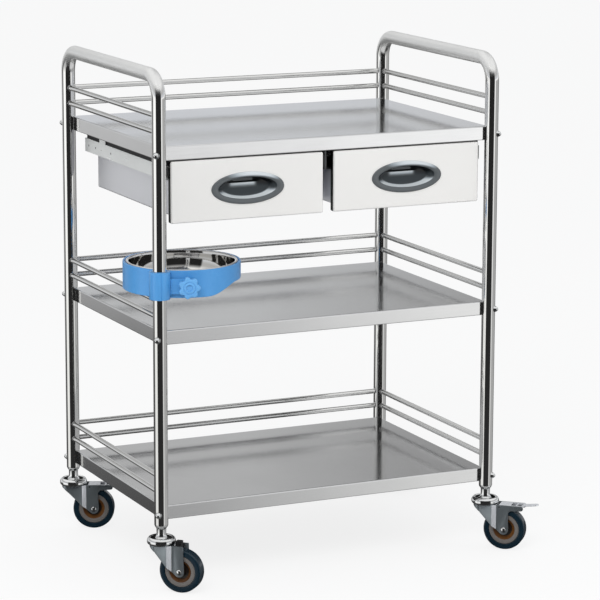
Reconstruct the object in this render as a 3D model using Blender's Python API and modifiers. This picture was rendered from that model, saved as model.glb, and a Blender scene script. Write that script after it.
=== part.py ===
"""Stainless steel dressing trolley with three shelves, two drawers and a bowl holder.

The trolley stands on the floor, z = 0, with its width along X, its open front
towards -Y and its handles above the left and right sides. All sizes are real
sizes. Each object is one physical piece.
"""

import math

import bmesh
import bpy
from mathutils import Matrix, Vector

MM = 0.001

# Main sizes of the frame
FRAME_WIDTH = 658.5 * MM        # left post axis to right post axis
FRAME_DEPTH = 445.0 * MM        # front post axis to back post axis
TUBE_RADIUS = 12.5 * MM
TUBE_WALL = 1.2 * MM
HANDLE_RISE = 123.0 * MM        # axis of the handle bar above the top shelf
HANDLE_BEND_RADIUS = 40.0 * MM  # on the tube's axis
TUBE_FOOT_HEIGHT = 119.5 * MM   # lower end of each post
FIT_GAP = 0.3 * MM              # left between pieces that touch

# Guard rails
RAIL_RADIUS = 4.75 * MM
RAIL_HEIGHTS = {"low": 24.5 * MM, "high": 53.5 * MM}  # axis above its shelf

# Shelves
SHELF_TOPS = {"bottom": 153.0 * MM, "middle": 472.0 * MM, "top": 800.0 * MM}
SHELF_SKIRT = 25.5 * MM
SHELF_SHEET = 1.2 * MM
SHELF_LIP = 8.0 * MM
SHELF_EDGE_RADIUS = 1.8 * MM
SHELF_SETBACK = 3.5 * MM        # skirt face inside the plane of the post axes
STIFFENER_WIDTH = 60.0 * MM
STIFFENER_DEPTH = 14.0 * MM
STIFFENER_FLANGE = 12.0 * MM
STIFFENER_END_SPACE = 45.0 * MM

# Dome screws that hold the shelves to the posts
DOME_RADIUS = 6.0 * MM
DOME_HEIGHT = 6.3 * MM          # above the post's surface
DOME_DROP = 13.5 * MM           # below its shelf's top

# Drawers
DRAWER_GAP = 20.6 * MM          # between the two fronts
DRAWER_END_SPACE = 24.0 * MM    # post axis to the outer edge of a front
DRAWER_FRONT_SETBACK = 4.5 * MM
DRAWER_FRONT_HEIGHT = 110.2 * MM
DRAWER_FRONT_DEPTH = 12.0 * MM
DRAWER_FRONT_CLEARANCE = 2.3 * MM  # below the shelf skirt
DRAWER_FRONT_LIP = 8.0 * MM
DRAWER_SHEET = 1.2 * MM
DRAWER_EDGE_RADIUS = 1.6 * MM
DRAWER_BOX_LENGTH = 350.0 * MM
DRAWER_BOX_HEIGHT = 88.0 * MM
DRAWER_BOX_DROP = 9.0 * MM      # box rim below the top of the front
DRAWER_BOX_HEM = 5.0 * MM
DRAWER_BOX_EDGE_RADIUS = 2.0 * MM

# Oval recessed pulls
PULL_WIDTH = 141.0 * MM
PULL_HEIGHT = 58.0 * MM
PULL_PROUD = 3.0 * MM
PULL_BEZEL_END = 13.0 * MM      # bezel width at the ends of the oval
PULL_BEZEL_SIDE = 9.5 * MM      # bezel width above and below
PULL_DEPTH = 17.0 * MM
PULL_WALL = 1.5 * MM
PULL_SCOOP_RISE = 7.0 * MM      # how far the deep end lies above the middle
PULL_ROOM = 3.0 * MM            # hole in the box wall round the pull's cup

# Drawer slides
SLIDE_HEIGHT = 25.0 * MM
SLIDE_THICKNESS = 10.6 * MM
SLIDE_SHEET = 1.2 * MM
SLIDE_LENGTH = 385.0 * MM
SLIDE_RUNNER_LENGTH = 340.0 * MM
SLIDE_DROP = 11.2 * MM          # slide top below the shelf skirt
SLIDE_RUNNING_GAP = 0.4 * MM
SLIDE_TAB_LENGTH = 30.0 * MM
SLIDE_TAB_SHEET = 1.5 * MM
SLIDE_TAB_FOOT = 9.0 * MM
SLIDE_TAB_PLACES = (0.10, 0.77)  # tab middles along the slide, from its front
SLIDE_HOLE_RADIUS = 2.2 * MM
SLIDE_HOLE_PLACES = (0.05, 0.13, 0.66, 0.86, 0.95)
HANGER_SHEET = 1.5 * MM         # one leaf of the middle hanger

# Casters
WHEEL_RADIUS = 39.5 * MM
TYRE_WIDTH = 22.0 * MM
TYRE_INNER_RADIUS = 29.0 * MM
HUB_WIDTH = 20.0 * MM
HUB_DISH_RADIUS = 21.5 * MM
HUB_DISH_DEPTH = 5.5 * MM
HUB_BOSS_RADIUS = 8.0 * MM
AXLE_RADIUS = 3.2 * MM
RIVET_RADIUS = 5.5 * MM
RIVET_HEIGHT = 2.6 * MM
CASTER_TRAIL = 39.0 * MM
FORK_SHEET = 2.2 * MM
FORK_SIDE_GAP = 2.2 * MM        # tyre to fork cheek
FORK_CHEEK_END = 9.5 * MM       # radius round the axle
FORK_NOSE_SETBACK = 4.0 * MM    # nose centre ahead of the kingpin
CROWN_RADIUS = 26.0 * MM
CROWN_BOTTOM = 84.5 * MM
CROWN_TOP = 98.3 * MM
CROWN_WELL_RADIUS = 14.5 * MM
CROWN_WELL_FLOOR = 91.0 * MM
HORN_REACH = 37.0 * MM          # brake arm beyond the axle
HORN_HEIGHT = 9.0 * MM
STEM_RADIUS = 7.0 * MM
STEM_NUT_RADIUS = 9.0 * MM
STEM_DISC_RADIUS = 13.0 * MM
STEM_DISC_HEIGHT = 3.0 * MM
STEM_NUT_HEIGHT = 12.0 * MM
PLUG_COLLAR_HEIGHT = 4.7 * MM
PLUG_LENGTH = 22.0 * MM
PLUG_NECK_RADIUS = 8.5 * MM
CASTER_ANGLES = {"front_left": -44.0, "back_left": -24.0, "front_right": -42.0, "back_right": -20.0}
BRAKED_CASTERS = {"front_right": True, "back_left": False}  # True with a foot tab

# Brake pedals
PEDAL_SHEET = 1.6 * MM
PEDAL_RIM = 3.0 * MM
PEDAL_PIN_RADIUS = 1.6 * MM
PEDAL_PIN_CLEARANCE = 0.3 * MM
PEDAL_BARREL_RADIUS = 3.2 * MM
PEDAL_PIN_BEHIND_KINGPIN = 31.0 * MM
PEDAL_TAB_LENGTH = 27.0 * MM
PEDAL_TAB_WIDTH = 15.0 * MM
PEDAL_TAB_RISE = 3.0 * MM
PEDAL_SHOE_LENGTH = 9.0 * MM
PEDAL_SHOE_CLEARANCE = 2.4 * MM  # above the tyre

# Rubber block on the fork of the front left caster
BLOCK_LENGTH = 11.0 * MM
BLOCK_WIDTH = 11.0 * MM
BLOCK_TOP = 94.0 * MM
BLOCK_FROM_CROWN = 3.0 * MM
BLOCK_ABOVE_TYRE = 2.6 * MM

# Bowl holder, clamped to the front left post
HOLDER_DIRECTION = 48.4         # degrees, from the post to the ring's centre
HOLDER_RISE = 59.0 * MM         # band above the middle shelf, clear of its guard rails
HOLDER_HEIGHT = 49.0 * MM
HOLDER_LOW_HEIGHT = 31.0 * MM   # band height away from the post
HOLDER_DEEP_MIDDLE = -17.0      # degrees from the post, middle of the deep part
HOLDER_DEEP_HALF = 62.0         # degrees
HOLDER_EASE = 40.0              # degrees over which the band narrows
RING_OUTER_RADIUS = 106.0 * MM
RING_WALL = 4.0 * MM
RING_POST_SPACE = 0.6 * MM      # post surface to the ring
LEDGE_WIDTH = 4.2 * MM
LEDGE_SHEET = 2.6 * MM
LEDGE_DROP = 3.0 * MM           # ledge face below the band's top
CLAMP_WALL = 6.4 * MM
FLANGE_GAP = 3.0 * MM
FLANGE_SHEET = 4.5 * MM
FLANGE_HEIGHT = 27.0 * MM
FLANGE_FROM = 187.0             # degrees about the ring's centre
FLANGE_TO = 211.0
KNOB_ANGLE = 205.0
KNOB_RISE = 22.0 * MM           # above the band's lower edge
KNOB_RADIUS = 20.0 * MM
KNOB_WAIST = 15.5 * MM
KNOB_LOBES = 7
KNOB_THICKNESS = 11.0 * MM
KNOB_COLLAR_RADIUS = 9.0 * MM
KNOB_COLLAR_LENGTH = 7.0 * MM
KNOB_DIMPLE_RADIUS = 6.5 * MM
KNOB_DIMPLE_DEPTH = 2.5 * MM
KNOB_SCREW_RADIUS = 3.0 * MM

# Steel bowl
BOWL_RIM_RADIUS = 100.5 * MM
BOWL_MOUTH_RADIUS = 96.6 * MM
BOWL_DEPTH = 50.5 * MM
BOWL_BASE_RADIUS = 42.0 * MM
BOWL_SHEET = 1.0 * MM
BOWL_RIM_HEIGHT = 3.4 * MM

# Facets round each kind of piece
TUBE_SIDES_RESOLUTION = 6       # gives 16 sides
RAIL_SIDES_RESOLUTION = 3       # gives 10 sides
DOME_STEPS = 8
BEND_STEPS = 4
NOTCH_STEPS = 3
CORNER_STEPS = 2
WHEEL_STEPS = 24
HUB_STEPS = 16
CROWN_STEPS = 16
STEM_STEPS = 12
OVAL_STEPS = 20
RING_STEPS = 36
BOWL_ARC_STEPS = 5

MERGE_DISTANCE = 0.00001

MODEL_COLLECTION = "dressing_trolley"
CUTTER_COLLECTION = "cutters"


# Scene and object helpers

def clear_scene():
    """Empties the file that the script starts in."""
    for obj in list(bpy.data.objects):
        bpy.data.objects.remove(obj, do_unlink=True)


def collection(name):
    """Returns the collection with this name, made when it is missing."""
    found = bpy.data.collections.get(name)
    if found is None:
        found = bpy.data.collections.new(name)
        bpy.context.scene.collection.children.link(found)
    return found


def make_material(name, colour, metallic, roughness):
    """A Principled material with a plain colour."""
    mat = bpy.data.materials.new(name)
    mat.use_nodes = True
    shader = mat.node_tree.nodes["Principled BSDF"]
    shader.inputs["Base Color"].default_value = (*colour, 1.0)
    shader.inputs["Metallic"].default_value = metallic
    shader.inputs["Roughness"].default_value = roughness
    return mat


MATERIAL_FINISHES = {
    "polished_tube": ((0.62, 0.63, 0.64), 1.0, 0.12),
    "brushed_sheet": ((0.60, 0.61, 0.63), 1.0, 0.28),
    "drawer_sheet": ((0.72, 0.72, 0.71), 1.0, 0.30),
    "zinc_plate": ((0.45, 0.47, 0.48), 1.0, 0.25),
    "slide_steel": ((0.55, 0.56, 0.57), 1.0, 0.35),
    "pull_plastic": ((0.18, 0.20, 0.21), 0.0, 0.35),
    "tyre_rubber": ((0.01, 0.03, 0.05), 0.0, 0.45),
    "hub_plastic": ((0.20, 0.17, 0.15), 0.0, 0.5),
    "black_rubber": ((0.01, 0.01, 0.01), 0.0, 0.6),
    "holder_plastic": ((0.10, 0.32, 0.72), 0.0, 0.35),
    "bowl_steel": ((0.65, 0.65, 0.66), 1.0, 0.08),
}


def make_materials():
    """Makes every material once, by name."""
    return {name: make_material(name, *values) for name, values in MATERIAL_FINISHES.items()}


def link_object(name, mesh, mat, target=MODEL_COLLECTION, smooth=True):
    """Puts a mesh in the scene as a named object."""
    obj = bpy.data.objects.new(name, mesh)
    collection(target).objects.link(obj)
    if mat is not None:
        mesh.materials.clear()
        mesh.materials.append(mat)
    if smooth:
        mesh.shade_smooth()
        mesh.set_sharp_from_angle(angle=math.radians(35.0))
    return obj


def mesh_from(bm, name):
    """Turns a bmesh into a mesh with its faces pointing out."""
    bmesh.ops.recalc_face_normals(bm, faces=bm.faces)
    mesh = bpy.data.meshes.new(name)
    bm.to_mesh(mesh)
    bm.free()
    return mesh


def evaluated_mesh(obj, name):
    """The object's mesh with its modifiers applied and loose caps joined."""
    depsgraph = bpy.context.evaluated_depsgraph_get()
    mesh = bpy.data.meshes.new_from_object(obj.evaluated_get(depsgraph), depsgraph=depsgraph)
    mesh.name = name
    bm = bmesh.new()
    bm.from_mesh(mesh)
    bmesh.ops.remove_doubles(bm, verts=bm.verts, dist=MERGE_DISTANCE)
    bm.to_mesh(mesh)
    bm.free()
    return mesh


def settle(obj):
    """Applies an object's modifiers, so that its mesh can be shared."""
    mesh = evaluated_mesh(obj, obj.name)
    mats = list(obj.data.materials)
    obj.modifiers.clear()
    obj.data = mesh
    mesh.materials.clear()
    for mat in mats:
        mesh.materials.append(mat)
    mesh.shade_smooth()
    mesh.set_sharp_from_angle(angle=math.radians(35.0))
    return obj


def as_cutter(obj):
    """Marks an object as a tool that is not itself a piece."""
    obj.hide_render = True
    obj.display_type = "WIRE"
    return obj


def boolean(obj, tool, operation="DIFFERENCE"):
    """Cuts, joins or intersects an object with a tool."""
    modifier = obj.modifiers.new(f"{operation.lower()}_{tool.name}", "BOOLEAN")
    modifier.operation = operation
    modifier.solver = "EXACT"
    modifier.object = tool
    return modifier


def solidify(obj, thickness, offset=-1.0):
    """Gives an open surface its wall."""
    modifier = obj.modifiers.new("wall", "SOLIDIFY")
    modifier.thickness = thickness
    modifier.offset = offset
    modifier.use_even_offset = True
    return modifier


def cutter(name, mesh):
    """A mesh placed in the cutters collection."""
    return as_cutter(link_object(name, mesh, None, CUTTER_COLLECTION, smooth=False))


def clear_cutters():
    """Deletes the tools whose work has been applied."""
    for obj in list(collection(CUTTER_COLLECTION).objects):
        bpy.data.objects.remove(obj, do_unlink=True)


# Shape helpers

def tube_curve(name, points, radius, resolution, caps=True, mat=None, target=MODEL_COLLECTION):
    """A round bar or tube along straight runs between points."""
    curve = bpy.data.curves.new(name, "CURVE")
    curve.dimensions = "3D"
    curve.bevel_depth = radius
    curve.bevel_resolution = resolution
    curve.use_fill_caps = caps
    spline = curve.splines.new("POLY")
    spline.points.add(len(points) - 1)
    for target_point, point in zip(spline.points, points):
        target_point.co = (*point, 1.0)
    obj = bpy.data.objects.new(name, curve)
    collection(target).objects.link(obj)
    if mat is not None:
        curve.materials.append(mat)
    return obj


def loft(loops, cap_first=False, cap_last=False, close_rings=True, close_path=False):
    """A surface through loops with the same number of points."""
    bm = bmesh.new()
    rings = [[bm.verts.new(point) for point in loop] for loop in loops]
    pairs = list(zip(rings, rings[1:]))
    if close_path:
        pairs.append((rings[-1], rings[0]))
    for ring, other in pairs:
        count = len(ring)
        last = count if close_rings else count - 1
        for i in range(last):
            j = (i + 1) % count
            bm.faces.new((ring[i], ring[j], other[j], other[i]))
    if cap_first:
        bm.faces.new(list(reversed(rings[0])))
    if cap_last:
        bm.faces.new(rings[-1])
    return bm


def prism(outline, low, high, name):
    """A closed block with a flat outline in X and Y, from low to high in Z."""
    loops = [[(x, y, z) for x, y in outline] for z in (low, high)]
    return mesh_from(loft(loops, cap_first=True, cap_last=True), name)


def side_prism(outline, half_width, name):
    """A closed block with its outline in X and Z, centred on Y."""
    loops = [[(x, y, z) for x, z in outline] for y in (-half_width, half_width)]
    return mesh_from(loft(loops, cap_first=True, cap_last=True), name)


def length_prism(outline, front, back, name):
    """A closed bar with its section in X and Z, from front to back in Y."""
    loops = [[(x, y, z) for x, z in outline] for y in (front, back)]
    return mesh_from(loft(loops, cap_first=True, cap_last=True), name)


def block(low, high, name):
    """A rectangular block between two corners."""
    bm = bmesh.new()
    size = Vector(high) - Vector(low)
    middle = (Vector(high) + Vector(low)) / 2.0
    bmesh.ops.create_cube(bm, size=1.0, matrix=Matrix.Translation(middle) @ Matrix.Diagonal((*size, 1.0)))
    return mesh_from(bm, name)


def rod(start, end, radius, sides, name):
    """A closed cylinder between two points."""
    start, end = Vector(start), Vector(end)
    axis = end - start
    turn = axis.to_track_quat("Z", "Y").to_matrix().to_4x4()
    bm = bmesh.new()
    bmesh.ops.create_cone(bm, cap_ends=True, segments=sides, radius1=radius, radius2=radius,
                          depth=axis.length, matrix=Matrix.Translation((start + end) / 2.0) @ turn)
    return mesh_from(bm, name)


def turned_mesh(profile, steps, name, closed=False):
    """A shape turned about Z from a profile of (radius, height) points.

    The profile runs down the outer side. A closed profile is a ring's section.
    """
    bm = bmesh.new()
    verts = [bm.verts.new((r, 0.0, z)) for r, z in profile]
    for a, b in zip(verts, verts[1:]):
        bm.edges.new((a, b))
    if closed:
        bm.edges.new((verts[-1], verts[0]))
    mesh = bpy.data.meshes.new(name)
    bm.to_mesh(mesh)
    bm.free()
    holder = bpy.data.objects.new(name, mesh)
    collection(CUTTER_COLLECTION).objects.link(holder)
    screw = holder.modifiers.new("turn", "SCREW")
    screw.steps = steps
    screw.render_steps = steps
    screw.use_merge_vertices = True
    screw.merge_threshold = MERGE_DISTANCE
    result = evaluated_mesh(holder, name)
    bpy.data.objects.remove(holder, do_unlink=True)
    bm = bmesh.new()
    bm.from_mesh(result)
    bmesh.ops.recalc_face_normals(bm, faces=bm.faces)
    bm.to_mesh(result)
    bm.free()
    return result


def turn_mesh(mesh, matrix):
    """Moves a mesh's points and returns it."""
    mesh.transform(matrix)
    return mesh


def arc(centre, radius, start, end, steps):
    """Points on an arc, angles in degrees, both ends included."""
    points = []
    for i in range(steps + 1):
        angle = math.radians(start + (end - start) * i / steps)
        points.append((centre[0] + radius * math.cos(angle), centre[1] + radius * math.sin(angle)))
    return points


def ease(value):
    """Smooth step from 0 to 1."""
    value = min(max(value, 0.0), 1.0)
    return value * value * (3.0 - 2.0 * value)


SIDES = {"left": -1.0, "right": 1.0}
ENDS = {"front": -1.0, "back": 1.0}


def post_place(side, end):
    """Where a post's axis stands."""
    return SIDES[side] * FRAME_WIDTH / 2.0, ENDS[end] * FRAME_DEPTH / 2.0


# Frame

def handle_height():
    """Height of the handle bars' axis."""
    return SHELF_TOPS["top"] + HANDLE_RISE


def side_frame_path(x):
    """The axis of an inverted U: up the front post, over, and down the back."""
    half = FRAME_DEPTH / 2.0
    bend = HANDLE_BEND_RADIUS
    low = handle_height() - bend
    front = arc((-half + bend, low), bend, 180.0, 90.0, BEND_STEPS)
    back = arc((half - bend, low), bend, 90.0, 0.0, BEND_STEPS)
    run = [(-half, TUBE_FOOT_HEIGHT)] + front + back + [(half, TUBE_FOOT_HEIGHT)]
    return [(x, y, z) for y, z in run]


def dome_screw(side, end, height):
    """The domed head of a shelf screw, on a post's outer corner."""
    x, y = post_place(side, end)
    outward = Vector((SIDES[side], ENDS[end], 0.0)).normalized()
    seat = Vector((x, y, height)) + outward * (TUBE_RADIUS - TUBE_WALL / 2.0)
    turn = outward.to_track_quat("Z", "Y").to_matrix().to_4x4()
    stretch = Matrix.Diagonal((DOME_RADIUS, DOME_RADIUS, DOME_HEIGHT + TUBE_WALL / 2.0, 1.0))
    bm = bmesh.new()
    bmesh.ops.create_uvsphere(bm, u_segments=DOME_STEPS, v_segments=4, radius=1.0)
    bmesh.ops.transform(bm, matrix=Matrix.Translation(seat) @ turn @ stretch, verts=bm.verts)
    return cutter(f"dome_{side}_{end}_{round(height / MM)}", mesh_from(bm, "dome"))


def bore_plug(side, end):
    """A core that keeps the inside of a post clear of the screw heads."""
    x, y = post_place(side, end)
    start = (x, y, TUBE_FOOT_HEIGHT - TUBE_RADIUS)
    finish = (x, y, handle_height() - HANDLE_BEND_RADIUS)
    return cutter(f"core_{side}_{end}", rod(start, finish, TUBE_RADIUS - TUBE_WALL, 16, "core"))


def build_side_frame(side, mats):
    """A bent tube with the screw heads that fasten the shelves to it."""
    curve = tube_curve(f"{side}_tube", side_frame_path(SIDES[side] * FRAME_WIDTH / 2.0), TUBE_RADIUS,
                       TUBE_SIDES_RESOLUTION, caps=False, target=CUTTER_COLLECTION)
    frame = link_object(f"{side}_frame", evaluated_mesh(curve, f"{side}_frame"), mats["polished_tube"])
    solidify(frame, TUBE_WALL)
    for end in ENDS:
        for top in SHELF_TOPS.values():
            boolean(frame, dome_screw(side, end, top - DOME_DROP), "UNION")
    for end in ENDS:
        boolean(frame, bore_plug(side, end))
    settle(frame)
    clear_cutters()
    return frame


def build_rails(mats):
    """Two guard rails on the left, right and back of each shelf."""
    half_x = FRAME_WIDTH / 2.0
    half_y = FRAME_DEPTH / 2.0
    reach = TUBE_RADIUS + FIT_GAP
    for shelf, top in SHELF_TOPS.items():
        for level, above in RAIL_HEIGHTS.items():
            z = top + above
            for side, sign in SIDES.items():
                points = [(sign * half_x, -half_y + reach, z), (sign * half_x, half_y - reach, z)]
                tube_curve(f"rail_{side}_{shelf}_{level}", points, RAIL_RADIUS, RAIL_SIDES_RESOLUTION,
                           mat=mats["polished_tube"])
            points = [(-half_x + reach, half_y, z), (half_x - reach, half_y, z)]
            tube_curve(f"rail_back_{shelf}_{level}", points, RAIL_RADIUS, RAIL_SIDES_RESOLUTION,
                       mat=mats["polished_tube"])


# Shelves

def shelf_outline(inset):
    """The shelf's outline with a round notch at each post, moved in by inset."""
    back = SHELF_SETBACK + inset
    notch = TUBE_RADIUS + FIT_GAP + inset
    reach = math.sqrt(notch * notch - back * back)
    first = math.degrees(math.atan2(-reach, -back))
    last = math.degrees(math.atan2(-back, -reach))
    corner = arc((0.0, 0.0), notch, first, last, NOTCH_STEPS)
    points = []
    for sx, sy in ((1, 1), (-1, 1), (-1, -1), (1, -1)):
        run = corner if sx * sy > 0 else list(reversed(corner))
        points += [(sx * (FRAME_WIDTH / 2.0 + x), sy * (FRAME_DEPTH / 2.0 + y)) for x, y in run]
    return points


def edge_steps(radius):
    """(inset, drop) pairs round a folded edge, from the face to the side."""
    turns = (0.0, 45.0, 90.0)
    return [(radius * (1.0 - math.sin(math.radians(t))), radius * (1.0 - math.cos(math.radians(t))))
            for t in turns]


def build_shelf(name, top, mats):
    """A folded tray: flat top, skirts and an inward lip, open below."""
    steps = edge_steps(SHELF_EDGE_RADIUS) + [(0.0, SHELF_SKIRT), (SHELF_LIP, SHELF_SKIRT)]
    loops = [[(x, y, top - drop) for x, y in shelf_outline(inset)] for inset, drop in steps]
    bm = loft(loops, cap_first=True)
    shelf = link_object(f"shelf_{name}", mesh_from(bm, f"shelf_{name}"), mats["brushed_sheet"])
    aim_faces_up(shelf.data)
    solidify(shelf, SHELF_SHEET)
    if name != "top":
        boolean(shelf, stiffener(top), "UNION")
    settle(shelf)
    clear_cutters()
    return shelf


def aim_faces_up(mesh):
    """Turns an open tray so that its big face points up."""
    bm = bmesh.new()
    bm.from_mesh(mesh)
    bm.normal_update()
    largest = max(bm.faces, key=lambda face: face.calc_area())
    if largest.normal.z < 0.0:
        bmesh.ops.reverse_faces(bm, faces=bm.faces)
    bm.to_mesh(mesh)
    bm.free()


def stiffener(top):
    """A hat channel under a shelf, along its length, welded to the sheet."""
    under = top - SHELF_SHEET
    sheet = SHELF_SHEET
    wide = STIFFENER_WIDTH / 2.0
    brim = wide + STIFFENER_FLANGE
    bite = sheet / 2.0
    low = under - STIFFENER_DEPTH
    outer = [(-brim, under + bite), (-brim, under - sheet), (-wide, under - sheet), (-wide + sheet, low),
             (wide - sheet, low), (wide, under - sheet), (brim, under - sheet), (brim, under + bite),
             (wide - sheet, under + bite), (wide - 2.0 * sheet, low + sheet),
             (-wide + 2.0 * sheet, low + sheet), (-wide + sheet, under + bite)]
    half = FRAME_WIDTH / 2.0 - STIFFENER_END_SPACE
    loops = [[(x, y, z) for y, z in outer] for x in (-half, half)]
    return cutter("stiffener", mesh_from(loft(loops, cap_first=True, cap_last=True), "stiffener"))


# Drawers and slides

def skirt_bottom():
    """Height of the lower edge of the top shelf's skirt."""
    return SHELF_TOPS["top"] - SHELF_SKIRT


def drawer_front_plane():
    """Y of the outer face of the drawer fronts."""
    return -FRAME_DEPTH / 2.0 + DRAWER_FRONT_SETBACK


def drawer_front_span(side):
    """The inner and outer X of a drawer front."""
    inner = DRAWER_GAP / 2.0
    outer = FRAME_WIDTH / 2.0 - DRAWER_END_SPACE
    return sorted((SIDES[side] * inner, SIDES[side] * outer))


def slide_faces():
    """Distances from the middle: hanger face, inner box side, outer box side."""
    hanger = HANGER_SHEET
    inner_box = hanger + FIT_GAP + SLIDE_THICKNESS + FIT_GAP
    outer_box = FRAME_WIDTH / 2.0 - DRAWER_END_SPACE - (inner_box - DRAWER_GAP / 2.0) - FIT_GAP
    return hanger, inner_box, outer_box


def rectangle(x0, x1, z0, z1, inset, radius):
    """A rectangle with rounded corners, moved in by inset, as (x, z) points."""
    r = max(radius - inset, 0.3 * MM)
    x0, x1, z0, z1 = x0 + inset, x1 - inset, z0 + inset, z1 - inset
    points = arc((x1 - r, z1 - r), r, 0.0, 90.0, CORNER_STEPS)
    points += arc((x0 + r, z1 - r), r, 90.0, 180.0, CORNER_STEPS)
    points += arc((x0 + r, z0 + r), r, 180.0, 270.0, CORNER_STEPS)
    points += arc((x1 - r, z0 + r), r, 270.0, 360.0, CORNER_STEPS)
    return points


def build_drawer_front(side, mats):
    """A folded front with returns on all sides and an oval hole for the pull."""
    x0, x1 = drawer_front_span(side)
    top = skirt_bottom() - DRAWER_FRONT_CLEARANCE
    low = top - DRAWER_FRONT_HEIGHT
    face = drawer_front_plane()
    steps = edge_steps(DRAWER_EDGE_RADIUS)
    steps += [(0.0, DRAWER_FRONT_DEPTH), (DRAWER_FRONT_LIP, DRAWER_FRONT_DEPTH)]
    corner = 2.0 * DRAWER_EDGE_RADIUS
    loops = [[(x, face + back, z) for x, z in rectangle(x0, x1, low, top, inset, corner)]
             for inset, back in steps]
    name = f"drawer_front_{side}"
    front = link_object(name, mesh_from(loft(loops, cap_first=True), name), mats["drawer_sheet"])
    aim_faces_forward(front.data)
    solidify(front, DRAWER_SHEET)
    boolean(front, pull_hole(side, drawer_front_plane(), FIT_GAP))
    settle(front)
    clear_cutters()
    return front


def aim_faces_forward(mesh):
    """Turns an open panel so that its big face points to the front."""
    bm = bmesh.new()
    bm.from_mesh(mesh)
    bm.normal_update()
    largest = max(bm.faces, key=lambda face: face.calc_area())
    if largest.normal.y > 0.0:
        bmesh.ops.reverse_faces(bm, faces=bm.faces)
    bm.to_mesh(mesh)
    bm.free()


def pull_centre(side):
    """The middle of a pull on its drawer front."""
    x0, x1 = drawer_front_span(side)
    top = skirt_bottom() - DRAWER_FRONT_CLEARANCE
    return (x0 + x1) / 2.0, top - DRAWER_FRONT_HEIGHT / 2.0


def oval(side, half_width, half_height, rise, y):
    """An ellipse on the drawer front's plane, raised by rise."""
    cx, cz = pull_centre(side)
    points = []
    for i in range(OVAL_STEPS):
        angle = 2.0 * math.pi * i / OVAL_STEPS
        points.append((cx + half_width * math.cos(angle), y, cz + rise + half_height * math.sin(angle)))
    return points


def pull_opening():
    """Half width and half height of the pull's mouth."""
    return PULL_WIDTH / 2.0 - PULL_BEZEL_END, PULL_HEIGHT / 2.0 - PULL_BEZEL_SIDE


def pull_cup():
    """Half width and half height of the outside of the pull's cup."""
    a, b = pull_opening()
    return a + PULL_WALL, b + PULL_WALL


def pull_hole(side, wall_face, room):
    """The cutter for the pull's oval hole in a wall of sheet metal."""
    a, b = pull_cup()
    depths = (wall_face - DRAWER_SHEET, wall_face + 2.0 * DRAWER_SHEET)
    loops = [oval(side, a + room, b + room, 0.0, y) for y in depths]
    return cutter(f"pull_hole_{side}", mesh_from(loft(loops, cap_first=True, cap_last=True), "pull_hole"))


def build_pull(side, mats):
    """An oval flush pull whose floor scoops up behind its upper rim."""
    a, b = pull_opening()
    cup_a, cup_b = pull_cup()
    out_a, out_b = PULL_WIDTH / 2.0, PULL_HEIGHT / 2.0
    face = drawer_front_plane()
    seat = face - FIT_GAP
    crest = face - PULL_PROUD
    floor_a, floor_b = 0.78 * a, 0.50 * b
    mid_a, mid_b = 0.94 * a, 0.80 * b
    lift = PULL_SCOOP_RISE
    loops = [
        oval(side, floor_a, floor_b, lift, face + PULL_DEPTH - PULL_WALL),
        oval(side, mid_a, mid_b, 0.45 * lift, face + 0.5 * PULL_DEPTH),
        oval(side, a, b, 0.0, face),
        oval(side, a + PULL_WALL, b + PULL_WALL, 0.0, crest + 0.2 * PULL_PROUD),
        oval(side, (a + out_a) / 2.0, (b + out_b) / 2.0, 0.0, crest),
        oval(side, out_a - PULL_WALL, out_b - PULL_WALL, 0.0, crest + 0.3 * PULL_PROUD),
        oval(side, out_a, out_b, 0.0, seat),
        oval(side, cup_a, cup_b, 0.0, seat),
        oval(side, cup_a, cup_b, 0.0, face + DRAWER_SHEET + FIT_GAP),
        oval(side, mid_a + PULL_WALL, mid_b + PULL_WALL, 0.45 * lift, face + 0.5 * PULL_DEPTH + PULL_WALL),
        oval(side, floor_a + PULL_WALL, floor_b + PULL_WALL, lift, face + PULL_DEPTH),
    ]
    name = f"pull_{side}"
    return link_object(name, mesh_from(loft(loops, cap_first=True, cap_last=True), name),
                       mats["pull_plastic"])


def drawer_box_front():
    """Y of the front wall of a drawer box."""
    return drawer_front_plane() + DRAWER_FRONT_DEPTH + FIT_GAP


def build_drawer_box(side, mats):
    """A sheet box, open above, with a hem folded in round its rim."""
    _, inner, outer = slide_faces()
    x0, x1 = sorted((SIDES[side] * inner, SIDES[side] * outer))
    front = drawer_box_front()
    back = front + DRAWER_BOX_LENGTH
    rim = skirt_bottom() - DRAWER_FRONT_CLEARANCE - DRAWER_BOX_DROP
    low = rim - DRAWER_BOX_HEIGHT
    r = DRAWER_BOX_EDGE_RADIUS
    steps = [(inset, low + up) for inset, up in edge_steps(r)]
    steps += [(0.0, rim), (DRAWER_BOX_HEM, rim)]
    loops = [[(x, y, z) for x, y in rectangle(x0, x1, front, back, inset, 2.0 * r)] for inset, z in steps]
    name = f"drawer_box_{side}"
    bm = loft(loops, cap_first=True)
    box = link_object(name, mesh_from(bm, name), mats["drawer_sheet"])
    aim_faces_down(box.data)
    solidify(box, DRAWER_SHEET)
    boolean(box, pull_hole(side, front, PULL_ROOM))
    settle(box)
    clear_cutters()
    return box


def aim_faces_down(mesh):
    """Turns an open box so that its floor points down, outwards."""
    bm = bmesh.new()
    bm.from_mesh(mesh)
    bm.normal_update()
    largest = max(bm.faces, key=lambda face: face.calc_area())
    if largest.normal.z > 0.0:
        bmesh.ops.reverse_faces(bm, faces=bm.faces)
    bm.to_mesh(mesh)
    bm.free()


def channel_section(x_back, x_open, low, high, sheet):
    """A channel's section: back wall at x_back, open towards x_open."""
    inward = math.copysign(sheet, x_open - x_back)
    return [(x_back, low), (x_open, low), (x_open, low + sheet), (x_back + inward, low + sheet),
            (x_back + inward, high - sheet), (x_open, high - sheet), (x_open, high), (x_back, high)]


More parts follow.
